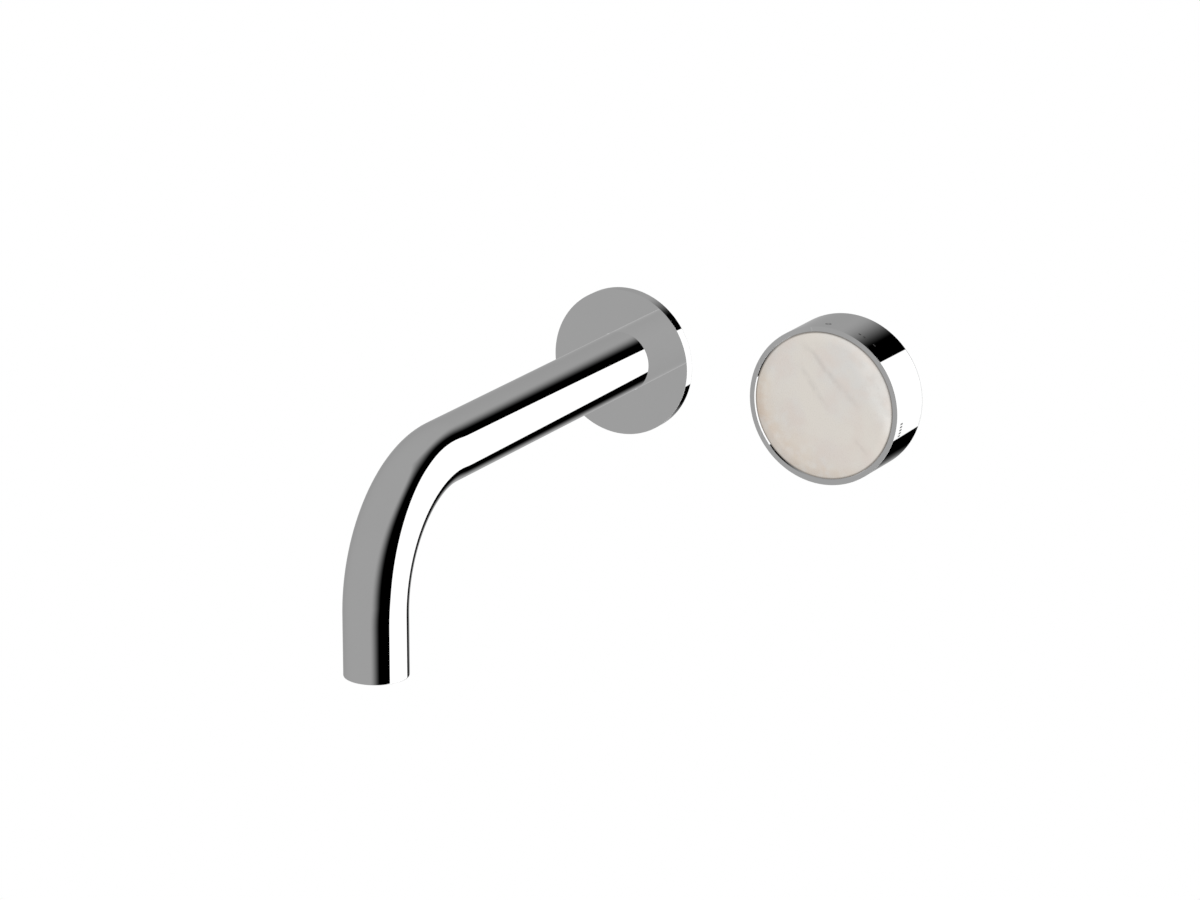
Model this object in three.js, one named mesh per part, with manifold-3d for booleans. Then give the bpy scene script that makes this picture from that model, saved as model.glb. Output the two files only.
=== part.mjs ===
// Wall mounted bath faucet: a fixed spout with a round flange, one turning knob with a stone inset,
// and the concealed mixer set that joins them behind the wall.
// Millimetres. Origin at the centre of the spout flange on the finished wall, which is the plane Y = 0.
// +X points from the spout to the knob, +Y into the wall, +Z up.
import * as THREE from "three";
import { mergeVertices } from "three/addons/utils/BufferGeometryUtils.js";
import Module from "manifold-3d";

const wasm = await Module();
wasm.setup();

// ---- driving dimensions ----
const SLIP = 0.3; // gap left between pieces that touch
const FINE = 48; // sides of the large round pieces
const MEDIUM = 24; // sides of the middling round pieces
const SMALL = 14; // sides of the small round pieces

const TUBE_R = 12.5; // spout tube outside
const TUBE_BORE_R = 10.5; // spout tube inside
const SPOUT_REACH = 200; // wall to the middle of the outlet
const SPOUT_DROP = 74; // tube axis to the outlet end
const BEND_R = 50; // centre line of the bend
const BEND_STEPS = 16;
const TUBE_START = -0.6; // the tube stops just short of the wall
const SPOUT_GRUB_Y = -12;
const SPOUT_GRUB_R = 2;

const FLANGE_R = 30;
const FLANGE_DEPTH = 4.6;
const FLANGE_WEB = 1.8; // thickness of the front of the flange
const FLANGE_HUB_R = 16.6;
const FLANGE_RIM = 1.8;
const FLANGE_EDGE = 0.35; // broken edge round the front
const RING_SECTION = 1.6; // flange O-ring thickness

const KNOB_X = 100; // spacing from the spout axis to the knob axis
const KNOB_R = 32;
const KNOB_FRONT = -24.4;
const KNOB_BACK = -0.6;
const KNOB_WALL = 2;
const KNOB_EDGE = 0.35;
const WEB_FRONT = -17.6;
const WEB_BACK = -14.8;
const BOSS_R = 13;
const BOSS_BACK = -5;
const ADAPTER_R = 8;
const KNOB_GRUB_Y = -10;
const KNOB_GRUB_R = 1.9;
const STONE_R = 29.6;
const STONE_FRONT = -24.2;
const STONE_BACK = -18.9;
const STONE_EDGE = 2.4; // rounding of the stone's front edge

const DEPTH = 50; // wall face to the middle of the concealed water ways
const BACK = 66; // wall face to the back of the castings
const PIPE_R = 7.5;
const PIPE_BORE_R = 6.5;
const THREAD_R = 10.4; // half inch thread, outside
const PORT_R = 11.6;
const PORT_THREAD = 10; // threaded length of a compression port
const SOCKET_DEPTH = 14; // how far a pipe goes into a port
const NUT_FLATS = 27;
const INLET_SPREAD = 17; // each inlet from the knob axis, sideways
const INLET_END = -44;
const PORT_ENDS = { elbow: 26, mixer: 56 }; // ends of the two ports that the transfer pipe joins

const BARREL_R = 22;
const BARREL_FRONT = 10;
const CHAMBER_R = 17.6;
const CHAMBER_FLOOR = 44;
const SPINDLE_R = 4.6;
const DISC_R = 14;
const DISC_PORTS = [[-5.5, -8.5, 3.2], [5.5, -8.5, 3.2], [0, 7, 4]]; // hot, cold, mixed: x, z, radius

const PLATE_THICK = 2.5;
const PLATE = { left: -32, right: 144, bottom: -44, top: 44 };
const SCREW_R = 2.4;

// ---- looks of the metals, plastics and stone ----
const LOOKS = {
  chrome: [0xd8dadc, 0.06, 1],
  brass: [0xb9964a, 0.35, 1],
  copper: [0xb4714f, 0.3, 1],
  steel: [0x9a9c9e, 0.4, 1],
  rubber: [0x1b1b1c, 0.8, 0],
  plastic: [0xe4e2dc, 0.5, 0],
  grey: [0x6a6e72, 0.5, 0],
  ceramic: [0xefece4, 0.25, 0],
  stone: [0xd6d0ca, 0.25, 0],
};

// ---- geometry helpers ----
function tidy(geometry) {
  // Joins shared corners, drops collapsed triangles and turns every face outwards.
  const plain = geometry.clone();
  plain.deleteAttribute("normal");
  plain.deleteAttribute("uv");
  const merged = mergeVertices(plain, 1e-4);
  const at = merged.attributes.position;
  const old = merged.index.array;
  const kept = [];
  let volume = 0;
  const a = new THREE.Vector3();
  const b = new THREE.Vector3();
  const c = new THREE.Vector3();
  for (let i = 0; i < old.length; i += 3) {
    const [p, q, r] = [old[i], old[i + 1], old[i + 2]];
    if (p === q || q === r || r === p) continue;
    kept.push(p, q, r);
    a.fromBufferAttribute(at, p);
    b.fromBufferAttribute(at, q);
    c.fromBufferAttribute(at, r);
    volume += a.dot(b.cross(c));
  }
  if (volume < 0) kept.reverse();
  merged.setIndex(kept);
  return merged;
}

function toManifold(geometry) {
  const solid = tidy(geometry);
  return new wasm.Manifold(new wasm.Mesh({
    numProp: 3,
    vertProperties: new Float32Array(solid.attributes.position.array),
    triVerts: new Uint32Array(solid.index.array),
  }));
}

function fromManifold(manifold) {
  const mesh = manifold.getMesh();
  const geometry = new THREE.BufferGeometry();
  const positions = new Float32Array(mesh.numVert * 3);
  for (let i = 0; i < mesh.numVert; i += 1) {
    for (let k = 0; k < 3; k += 1) positions[i * 3 + k] = mesh.vertProperties[i * mesh.numProp + k];
  }
  geometry.setAttribute("position", new THREE.BufferAttribute(positions, 3));
  geometry.setIndex(Array.from(mesh.triVerts));
  return geometry;
}

function joined(pieces, cuts = []) {
  // One solid from all the pieces, with all the cuts taken away.
  let solid = toManifold(pieces[0]);
  for (const piece of pieces.slice(1)) solid = solid.add(toManifold(piece));
  for (const cut of cuts) solid = solid.subtract(toManifold(cut));
  return fromManifold(solid);
}

function turned(profile, sides = MEDIUM) {
  // A round piece about the Y axis. The profile is [radius, y] pairs and is closed here.
  const points = profile.map(([r, y]) => new THREE.Vector2(r, y));
  points.push(points[0].clone());
  return new THREE.LatheGeometry(points, sides);
}

function ringAbout(inner, outer, from, to, sides = MEDIUM) {
  return turned([[inner, from], [outer, from], [outer, to], [inner, to]], sides);
}

function discAbout(radius, from, to, sides = MEDIUM) {
  const points = [[0, from], [radius, from], [radius, to], [0, to]];
  return new THREE.LatheGeometry(points.map(([r, y]) => new THREE.Vector2(r, y)), sides);
}

function cordRing(radius, section, y, sides = MEDIUM) {
  // An O-ring about the Y axis with its middle at the radius.
  const torus = new THREE.TorusGeometry(radius, section / 2, 8, sides);
  return torus.rotateX(Math.PI / 2).translate(0, y, 0);
}

function rod(from, to, radius, sides = SMALL) {
  // A solid round bar between two points.
  const start = new THREE.Vector3(...from);
  const end = new THREE.Vector3(...to);
  const way = end.clone().sub(start);
  const bar = new THREE.CylinderGeometry(radius, radius, way.length(), sides);
  const turn = new THREE.Quaternion().setFromUnitVectors(new THREE.Vector3(0, 1, 0), way.normalize());
  const middle = start.add(end).multiplyScalar(0.5);
  return bar.applyQuaternion(turn).translate(middle.x, middle.y, middle.z);
}

function slabAt(outline, from, to, holes = []) {
  // A flat piece facing the wall: the outline and holes are in X and Z, its thickness runs along Y.
  const shape = new THREE.Shape(outline);
  shape.holes = holes;
  const slab = new THREE.ExtrudeGeometry(shape, { depth: to - from, bevelEnabled: false, curveSegments: 6 });
  return slab.rotateX(Math.PI / 2).translate(0, to, 0);
}

function roundedBox(left, bottom, right, top, corner) {
  const points = [];
  const corners = [[right, top, 0], [left, top, 1], [left, bottom, 2], [right, bottom, 3]];
  for (const [x, z, quarter] of corners) {
    const inX = x - corner * Math.sign(x - (left + right) / 2);
    const inZ = z - corner * Math.sign(z - (bottom + top) / 2);
    for (let i = 0; i <= 4; i += 1) {
      const turn = (quarter + i / 4) * Math.PI / 2;
      points.push(new THREE.Vector2(inX + corner * Math.cos(turn), inZ + corner * Math.sin(turn)));
    }
  }
  return points;
}

function hexBar(flats, from, to) {
  // A hexagonal bar along the Y axis.
  const bar = new THREE.CylinderGeometry(flats / Math.sqrt(3), flats / Math.sqrt(3), to - from, 6);
  return bar.translate(0, (from + to) / 2, 0);
}

// ---- nodes ----
const group = new THREE.Group();
group.name = "wall_bath_faucet";

function addNode(name, geometry, look) {
  const [color, roughness, metalness] = LOOKS[look];
  const material = new THREE.MeshStandardMaterial({ color, roughness, metalness });
  const solid = tidy(geometry);
  solid.computeVertexNormals();
  const mesh = new THREE.Mesh(solid, material);
  mesh.name = name;
  group.add(mesh);
}

// ---- spout ----
class SpoutPath extends THREE.Curve {
  // Straight out of the wall, one quarter bend and a short straight drop.
  // The steps are one for each straight and BEND_STEPS for the bend, so both straights stay exact.
  constructor() {
    super();
    this.steps = BEND_STEPS + 2;
    this.bendY = -(SPOUT_REACH - BEND_R);
  }

  turnAt(t) {
    const step = t * this.steps;
    return Math.min(Math.max((step - 1) / BEND_STEPS, 0), 1) * Math.PI / 2;
  }

  getPoint(t, target = new THREE.Vector3()) {
    const step = t * this.steps;
    const turn = this.turnAt(t);
    const intoStart = Math.max(1 - step, 0);
    const pastEnd = Math.max(step - 1 - BEND_STEPS, 0);
    const y = this.bendY - BEND_R * Math.sin(turn) + intoStart * (TUBE_START - this.bendY);
    const z = -BEND_R * (1 - Math.cos(turn)) - pastEnd * (SPOUT_DROP - BEND_R);
    return target.set(0, y, z);
  }

  getTangent(t, target = new THREE.Vector3()) {
    const turn = this.turnAt(t);
    return target.set(0, -Math.cos(turn), -Math.sin(turn));
  }

  getPointAt(u, target) {
    return this.getPoint(u, target);
  }

  getTangentAt(u, target) {
    return this.getTangent(u, target);
  }
}

function alongSpout(shape, sides) {
  const path = new SpoutPath();
  return new THREE.ExtrudeGeometry(shape, {
    extrudePath: path,
    steps: path.steps,
    curveSegments: sides,
    bevelEnabled: false,
  });
}

function spoutTube() {
  const ring = new THREE.Shape().absarc(0, 0, TUBE_R, 0, Math.PI * 2);
  ring.holes.push(new THREE.Path().absarc(0, 0, TUBE_BORE_R, 0, Math.PI * 2, true));
  const screwHole = rod([0, SPOUT_GRUB_Y, -TUBE_R - 1], [0, SPOUT_GRUB_Y, -TUBE_BORE_R + 2], SPOUT_GRUB_R + SLIP);
  return joined([alongSpout(ring, 20)], [screwHole]);
}

addNode("spout_tube", spoutTube(), "chrome");

function grubScrew(radius, length, keySize) {
  // A headless screw along Y with a hexagonal key socket in the end at y = 0.
  return joined([discAbout(radius, 0, length, SMALL)], [hexBar(keySize, -1, length * 0.45)]);
}

const spoutGrub = grubScrew(SPOUT_GRUB_R, 3.2, 2).rotateX(Math.PI / 2);
addNode("spout_grub_screw", spoutGrub.translate(0, SPOUT_GRUB_Y, -TUBE_R + 0.2), "steel");

// The flange is a shallow cup: a thin front, a hub that slides on the tube and a rim that meets the wall.
const hubBore = TUBE_R + 0.35;
const ringMiddle = -FLANGE_DEPTH / 2 - 0.2;
const ringGroove = RING_SECTION / 2 + SLIP;
const flangeProfile = [
  [hubBore, 0],
  [FLANGE_HUB_R, 0],
  [FLANGE_HUB_R, FLANGE_WEB - FLANGE_DEPTH],
  [FLANGE_R - FLANGE_RIM, FLANGE_WEB - FLANGE_DEPTH],
  [FLANGE_R - FLANGE_RIM, 0],
  [FLANGE_R, 0],
  [FLANGE_R, -FLANGE_DEPTH + FLANGE_EDGE],
  [FLANGE_R - FLANGE_EDGE, -FLANGE_DEPTH],
  [hubBore, -FLANGE_DEPTH],
  [hubBore, ringMiddle - ringGroove],
  [TUBE_R + RING_SECTION + 2 * SLIP, ringMiddle - ringGroove],
  [TUBE_R + RING_SECTION + 2 * SLIP, ringMiddle + ringGroove],
  [hubBore, ringMiddle + ringGroove],
];
addNode("wall_flange", turned(flangeProfile, FINE), "chrome");
const ringCentreR = TUBE_R + SLIP + RING_SECTION / 2;
addNode("flange_o_ring", cordRing(ringCentreR, RING_SECTION, ringMiddle), "rubber");
const gasketInner = FLANGE_HUB_R + SLIP;
const gasketOuter = FLANGE_R - FLANGE_RIM - SLIP;
const gasketFront = FLANGE_WEB - FLANGE_DEPTH + SLIP;
addNode("flange_gasket", ringAbout(gasketInner, gasketOuter, gasketFront, 0, MEDIUM), "rubber");

// ---- aerator in the outlet, built about Y with +Y towards the water, then stood on Z ----
const OUTLET = -SPOUT_DROP;
const AERATOR_R = TUBE_BORE_R - SLIP;
const AERATOR_BORE_R = 8.7;

function atOutlet(geometry, lift) {
  return geometry.rotateX(Math.PI / 2).translate(0, -SPOUT_REACH, OUTLET + lift);
}

function aeratorHousing() {
  const profile = [
    [AERATOR_BORE_R - 0.9, 0],
    [AERATOR_R, 0],
    [AERATOR_R, 11.4],
    [AERATOR_BORE_R, 11.4],
    [AERATOR_BORE_R, 1.2],
    [AERATOR_BORE_R - 0.9, 1.2],
  ];
  return atOutlet(turned(profile), 0.6);
}

function aeratorInsert() {
  const radius = AERATOR_BORE_R - SLIP;
  const pitch = 3;
  const cuts = [];
  for (let i = -2; i <= 2; i += 1) {
    for (let j = -2; j <= 2; j += 1) {
      if (Math.hypot(i, j) * pitch + 1.5 > radius) continue;
      cuts.push(new THREE.BoxGeometry(2.1, 10, 2.1).translate(i * pitch, 3, j * pitch));
    }
  }
  return atOutlet(joined([discAbout(radius, 0, 5.8)], cuts), 2.1);
}

function aeratorScreen() {
  const cuts = [];
  for (const [count, radius] of [[1, 0], [6, 2.7], [12, 5.4]]) {
    for (let i = 0; i < count; i += 1) {
      const turn = i * 2 * Math.PI / count;
      const x = radius * Math.cos(turn);
      const z = radius * Math.sin(turn);
      cuts.push(rod([x, -1, z], [x, 2, z], 0.8, 6));
    }
  }
  return atOutlet(joined([discAbout(AERATOR_BORE_R - SLIP, 0, 0.7)], cuts), 8.3);
}

addNode("aerator_housing", aeratorHousing(), "chrome");
addNode("aerator_insert", aeratorInsert(), "plastic");
addNode("aerator_screen", aeratorScreen(), "steel");
addNode("aerator_seal", atOutlet(ringAbout(7.6, AERATOR_R, 0, 1.6), 12.3), "rubber");

// ---- connector: the brass nipple that the spout slides on ----
const CONNECTOR_R = TUBE_BORE_R - SLIP;
const CONNECTOR_BORE_R = 6;
const CONNECTOR_FRONT = -46;
const CONNECTOR_BACK = 40;
const SOCKET_FACE = 22; // front of the elbow
const RING_PLACES = { front: -36, rear: -25 };
const SEAL_SECTION = 1.8;
const SEAL_FLOOR = CONNECTOR_R - SEAL_SECTION - SLIP;

function grooveAround(centre, half, floor, surface) {
  // Profile points of a square groove, walked towards +Y.
  return [[surface, centre - half], [floor, centre - half], [floor, centre + half], [surface, centre + half]];
}

function spoutConnector() {
  const half = SEAL_SECTION / 2 + SLIP;
  const profile = [
    [CONNECTOR_BORE_R, CONNECTOR_FRONT],
    [CONNECTOR_R - 0.8, CONNECTOR_FRONT],
    [CONNECTOR_R, CONNECTOR_FRONT + 0.8],
    ...grooveAround(RING_PLACES.front, half, SEAL_FLOOR, CONNECTOR_R),
    ...grooveAround(RING_PLACES.rear, half, SEAL_FLOOR, CONNECTOR_R),
    ...grooveAround(SPOUT_GRUB_Y, 3, 8.8, CONNECTOR_R),
    [CONNECTOR_R, 14],
    [13.6, 14],
    [13.6, SOCKET_FACE - 2.3],
    [9.4, SOCKET_FACE - 2.3],
    [9.4, SOCKET_FACE + 1],
    [THREAD_R, SOCKET_FACE + 2],
    [THREAD_R, CONNECTOR_BACK - 1],
    [THREAD_R - 1, CONNECTOR_BACK],
    [CONNECTOR_BORE_R, CONNECTOR_BACK],
  ];
  const keySocket = hexBar(12, CONNECTOR_FRONT - 1, CONNECTOR_FRONT + 12);
  return joined([turned(profile)], [keySocket]);
}

addNode("spout_connector", spoutConnector(), "brass");
for (const [end, place] of Object.entries(RING_PLACES)) {
  const middle = CONNECTOR_R - SEAL_SECTION / 2;
  addNode(`connector_o_ring_${end}`, cordRing(middle, SEAL_SECTION, place, MEDIUM), "rubber");
}
const washerFront = SOCKET_FACE - 2.3 + SLIP;
addNode("connector_washer", ringAbout(10.6, 13.6, washerFront, SOCKET_FACE - SLIP), "rubber");

// ---- compression fittings: built about Y with the pipe leaving towards +Y, the port's end at y = 0 ----
function portBody(length) {
  const body = [[0, -length], [PORT_R, -length], [PORT_R, -PORT_THREAD], [THREAD_R, -PORT_THREAD]];
  body.push([THREAD_R, -0.6], [THREAD_R - 0.6, 0], [0, 0]);
  return new THREE.LatheGeometry(body.map(([r, y]) => new THREE.Vector2(r, y)), MEDIUM);
}

function portNut() {
  const cavity = discAbout(THREAD_R + SLIP + 0.1, -PORT_THREAD, 3.5);
  const bore = discAbout(PIPE_R + SLIP, 3, 8);
  return joined([hexBar(NUT_FLATS, -9, 7)], [cavity, bore]);
}

function portOlive() {
  const inner = PIPE_R + SLIP;
  return turned([[inner, 0.3], [9, 0.3], [9.7, 1.4], [9.7, 2.1], [9, 3.2], [inner, 3.2]]);
}

function facing(direction, geometry, x, y, z) {
  // Turns a piece built along +Y to face the direction and moves its origin to the point.
  const turn = new THREE.Quaternion().setFromUnitVectors(new THREE.Vector3(0, 1, 0), direction);
  return geometry.applyQuaternion(turn).translate(x, y, z);
}

const RIGHT = new THREE.Vector3(1, 0, 0);
const LEFT = new THREE.Vector3(-1, 0, 0);
const DOWN = new THREE.Vector3(0, 0, -1);

// ---- elbow behind the spout ----
const EAR_THICK = 4;
const EAR_HOLE_R = SCREW_R + 0.4;
const ELBOW_SCREWS = { upper: [0, 24], lower: [0, -24] };
const MIXER_SCREWS = { left: [80, 30], right: [120, 30], lower: [KNOB_X, -29] };

function earHoles(places) {
  return Object.values(places).map(([x, z]) => rod([x, BACK - 10, z], [x, BACK + 2, z], EAR_HOLE_R));
}

function spoutElbow() {
  const end = PORT_ENDS.elbow;
  const pieces = [
    discAbout(14.6, SOCKET_FACE, BACK),
    slabAt(roundedBox(-10, -32, 10, 32, 9.9), BACK - EAR_THICK, BACK),
    facing(RIGHT, portBody(end), end, DEPTH, 0),
  ];
  const cuts = [
    discAbout(THREAD_R + 0.4, SOCKET_FACE - 1, CONNECTOR_BACK + 1),
    discAbout(7, CONNECTOR_BACK, DEPTH + 6),
    rod([0, DEPTH, 0], [end + 1, DEPTH, 0], CONNECTOR_BORE_R),
    rod([end - SOCKET_DEPTH, DEPTH, 0], [end + 1, DEPTH, 0], PIPE_R + SLIP, MEDIUM),
    ...earHoles(ELBOW_SCREWS),
  ];
  return joined(pieces, cuts);
}

addNode("spout_elbow", spoutElbow(), "brass");

// ---- mixer body behind the knob ----
const BLOCK = { left: KNOB_X - 30, right: KNOB_X + 30, bottom: -24, top: 24, front: 40 };
const INLET_DEPTH = 30; // pipe socket and check valve together
const CHECK_VALVE_R = PIPE_R;

function mixerBody() {
  const { left, right, bottom, top, front } = BLOCK;
  const inletXs = [KNOB_X - INLET_SPREAD, KNOB_X + INLET_SPREAD];
  const pieces = [
    slabAt(roundedBox(left, bottom, right, top, 8), front, BACK),
    discAbout(BARREL_R, BARREL_FRONT, front + 2, FINE).translate(KNOB_X, 0, 0),
    slabAt(roundedBox(72, 18, 128, 37, 6), BACK - EAR_THICK, BACK),
    slabAt(roundedBox(KNOB_X - 5, -34, KNOB_X + 5, -20, 4.5), BACK - EAR_THICK, BACK),
    facing(LEFT, portBody(left + 3 - PORT_ENDS.mixer), PORT_ENDS.mixer, DEPTH, 0),
    ...inletXs.map((x) => facing(DOWN, portBody(bottom + 3 - INLET_END), x, DEPTH, INLET_END)),
  ];
  const chamber = discAbout(CHAMBER_R, BARREL_FRONT - 1, CHAMBER_FLOOR, FINE).translate(KNOB_X, 0, 0);
  const outletEnd = PORT_ENDS.mixer + SOCKET_DEPTH;
  const cuts = [
    chamber,
    rod([PORT_ENDS.mixer - 1, DEPTH, 0], [outletEnd, DEPTH, 0], PIPE_R + SLIP, MEDIUM),
    rod([outletEnd - 1, DEPTH, 0], [KNOB_X, DEPTH, 0], 4),
    ...earHoles(MIXER_SCREWS),
  ];
  const [hot, cold, mixed] = DISC_PORTS;
  for (const [index, [x, z, radius]] of [hot, cold].entries()) {
    const inlet = inletXs[index];
    const inletTop = INLET_END + INLET_DEPTH;
    cuts.push(rod([inlet, DEPTH, INLET_END - 1], [inlet, DEPTH, inletTop], PIPE_R + SLIP, MEDIUM));
    cuts.push(rod([inlet, DEPTH, inletTop - 3], [KNOB_X + x, DEPTH, z], radius));
    cuts.push(rod([KNOB_X + x, DEPTH, z], [KNOB_X + x, CHAMBER_FLOOR - 1, z], radius));
  }
  cuts.push(rod([KNOB_X, DEPTH, 0], [KNOB_X, DEPTH, mixed[1]], mixed[2]));
  cuts.push(rod([KNOB_X, DEPTH, mixed[1]], [KNOB_X, CHAMBER_FLOOR - 1, mixed[1]], mixed[2]));
  return joined(pieces, cuts);
}

addNode("mixer_body", mixerBody(), "brass");

// ---- transfer pipe and every compression nut and ring ----
const PIPE_FROM = PORT_ENDS.elbow - SOCKET_DEPTH + SLIP;
const PIPE_TO = PORT_ENDS.mixer + SOCKET_DEPTH - SLIP;
const pipe = ringAbout(PIPE_BORE_R, PIPE_R, 0, PIPE_TO - PIPE_FROM);
addNode("transfer_pipe", facing(RIGHT, pipe, PIPE_FROM, DEPTH, 0), "copper");

const FITTINGS = {
  elbow: [RIGHT, PORT_ENDS.elbow, 0],
  mixer: [LEFT, PORT_ENDS.mixer, 0],
  hot_inlet: [DOWN, KNOB_X - INLET_SPREAD, INLET_END],
  cold_inlet: [DOWN, KNOB_X + INLET_SPREAD, INLET_END],
};
for (const [place, [direction, x, z]] of Object.entries(FITTINGS)) {
  addNode(`${place}_nut`, facing(direction, portNut(), x, DEPTH, z), "brass");
  addNode(`${place}_olive`, facing(direction, portOlive(), x, DEPTH, z), "copper");
}

// ---- check valves in the two inlets ----
function checkValve() {
  const cuts = [discAbout(4.6, -1, 9, SMALL)];
  for (let i = 0; i < 4; i += 1) {
    const slot = new THREE.BoxGeometry(2.6, 6, 6).translate(0, 10, 5.5);
    cuts.push(slot.rotateY(i * Math.PI / 2));
  }
  return joined([turned([[0, 0], [CHECK_VALVE_R - 0.2, 0], [CHECK_VALVE_R - 0.2, 11], [5, 14.4], [0, 14.4]])], cuts);
}

for (const place of ["hot_inlet", "cold_inlet"]) {
  const [, x, z] = FITTINGS[place];
  const valveEnd = z + SOCKET_DEPTH + SLIP;
  const valve = facing(new THREE.Vector3(0, 0, 1), checkValve(), x, DEPTH, valveEnd);
  addNode(`${place.replace("inlet", "check")}_valve`, valve, "plastic");
}

// ---- mounting plate and its screws ----
const PLATE_FRONT = BACK + SLIP;
const PLATE_BACK = PLATE_FRONT + PLATE_THICK;

function holeAt(x, z, radius) {
  return new THREE.Path().absarc(x, z, radius, 0, Math.PI * 2, true);
}

function slotAt(x, z, half, radius) {
  const slot = new THREE.Path();
  slot.absarc(x + half, z, radius, -Math.PI / 2, Math.PI / 2, false);
  slot.absarc(x - half, z, radius, Math.PI / 2, Math.PI * 1.5, false);
  return slot;
}

function mountingPlate() {
  const { left, right, bottom, top } = PLATE;
  const holes = [];
  for (const [x, z] of [...Object.values(ELBOW_SCREWS), ...Object.values(MIXER_SCREWS)]) {
    holes.push(holeAt(x, z, SCREW_R + SLIP));
  }
  for (const x of [left + 12, right - 12]) {
    for (const z of [bottom + 8, top - 8]) holes.push(slotAt(x, z, 4, 3.25));
  }
  holes.push(new THREE.Path(roundedBox(30, -12, 54, 12, 6)));
  return slabAt(roundedBox(left, bottom, right, top, 6), PLATE_FRONT, PLATE_BACK, holes);
}

addNode("mounting_plate", mountingPlate(), "steel");

function panScrew() {
  // A pan head machine screw along Y, head towards the room, its seat at y = 0.
  const body = turned([[0, -2.8], [3.4, -2.8], [4.5, -1.6], [4.5, 0], [SCREW_R, 0], [SCREW_R, 6.8], [0, 6.8]], SMALL);
  const blade = new THREE.BoxGeometry(4.6, 2.4, 0.9).translate(0, -2.8, 0);
  return joined([body], [blade, blade.clone().rotateY(Math.PI / 2)]);
}

const SCREW_SETS = { elbow: ELBOW_SCREWS, mixer: MIXER_SCREWS };
for (const [owner, places] of Object.entries(SCREW_SETS)) {
  for (const [place, [x, z]] of Object.entries(places)) {
    addNode(`${owner}_screw_${place}`, panScrew().translate(x, BACK - EAR_THICK - SLIP, z), "steel");
  }
}

// ---- cartridge: fixed pieces ----
const HOUSING_R = CHAMBER_R - SLIP;
const NECK_R = 9;
const NECK_FRONT = 12;
const HOUSING_FRONT = 18;
const HOUSING_BACK = 42;
const NECK_BORE_R = SPINDLE_R + 0.7;
const CAVITY_R = DISC_R + 0.3;

function onKnobAxis(geometry) {
  return geometry.translate(KNOB_X, 0, 0);
}

const housingProfile = [
  [NECK_BORE_R, NECK_FRONT],
  [NECK_R, NECK_FRONT],
  [NECK_R, HOUSING_FRONT],
  [HOUSING_R, HOUSING_FRONT],
  [HOUSING_R, HOUSING_BACK],
  [CAVITY_R, HOUSING_BACK],
  [CAVITY_R, HOUSING_FRONT + 4],
  [NECK_BORE_R, HOUSING_FRONT + 4],
];
addNode("cartridge_housing", onKnobAxis(turned(housingProfile)), "plastic");

function cartridgeNut() {
  const ring = ringAbout(NECK_R + 0.6, HOUSING_R, NECK_FRONT + SLIP, HOUSING_FRONT - SLIP);
  const cuts = [];
  for (let i = 0; i < 2; i += 1) {
    const notch = new THREE.BoxGeometry(40, 4, 5).translate(0, NECK_FRONT, 0);
    cuts.push(notch.rotateY(i * Math.PI / 2));
  }
  return joined([ring], cuts);
}

addNode("cartridge_nut", onKnobAxis(cartridgeNut()), "brass");

function portedDisc(radius, from, to, grow = 0) {
  const cuts = DISC_PORTS.map(([x, z, r]) => rod([x, from - 1, z], [x, to + 1, z], r - 0.2 + grow));
  return onKnobAxis(joined([discAbout(radius, from, to)], cuts));
}

addNode("fixed_ceramic_disc", portedDisc(DISC_R, 38.9, 42.1), "ceramic");
addNode("cartridge_base_seal", portedDisc(DISC_R, 42.4, 43.7, 0.2), "rubber");
addNode("limit_ring", onKnobAxis(ringAbout(NECK_BORE_R, NECK_R - 0.2, 8, NECK_FRONT - SLIP)), "grey");

// ---- sleeve through the wall and the seal round it, both hidden in the hollow of the knob ----
const SLEEVE_BORE_R = BARREL_R + SLIP;
const SLEEVE_R = SLEEVE_BORE_R + 1.5;
addNode("cover_sleeve", onKnobAxis(ringAbout(SLEEVE_BORE_R, SLEEVE_R, -3, 26)), "chrome");
addNode("wall_seal", onKnobAxis(ringAbout(SLEEVE_R + SLIP, 28.4, -2.4, 0)), "rubber");

// ---- knob: everything below turns about the knob axis ----
const rimInnerR = KNOB_R - KNOB_WALL;

function knobShell() {
  const profile = [
    [ADAPTER_R + SLIP, BOSS_BACK],
    [BOSS_R, BOSS_BACK],
    [BOSS_R, WEB_BACK],
    [rimInnerR, WEB_BACK],
    [rimInnerR, KNOB_BACK],
    [KNOB_R, KNOB_BACK],
    [KNOB_R, KNOB_FRONT + KNOB_EDGE],
    [KNOB_R - KNOB_EDGE, KNOB_FRONT],
    [rimInnerR, KNOB_FRONT],
    [rimInnerR, WEB_FRONT],
    [ADAPTER_R + SLIP, WEB_FRONT],
  ];
  const screwWay = rod([0, KNOB_GRUB_Y, -KNOB_R - 2], [0, KNOB_GRUB_Y, -ADAPTER_R], KNOB_GRUB_R + SLIP);
  return onKnobAxis(joined([turned(profile, FINE)], [screwWay]));
}

addNode("knob_shell", knobShell(), "chrome");

const stoneProfile = [[0, STONE_BACK], [STONE_R, STONE_BACK], [STONE_R, STONE_FRONT + STONE_EDGE]];
for (const turn of [30, 60, 90]) {
  const angle = turn * Math.PI / 180;
  const r = STONE_R - STONE_EDGE * (1 - Math.cos(angle));
  stoneProfile.push([r, STONE_FRONT + STONE_EDGE * (1 - Math.sin(angle))]);
}
stoneProfile.push([0, STONE_FRONT]);
addNode("stone_inset", onKnobAxis(turned(stoneProfile, FINE)), "stone");
addNode("inset_pad", onKnobAxis(discAbout(STONE_R - 3, STONE_BACK + SLIP, WEB_FRONT - SLIP)), "rubber");

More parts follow.
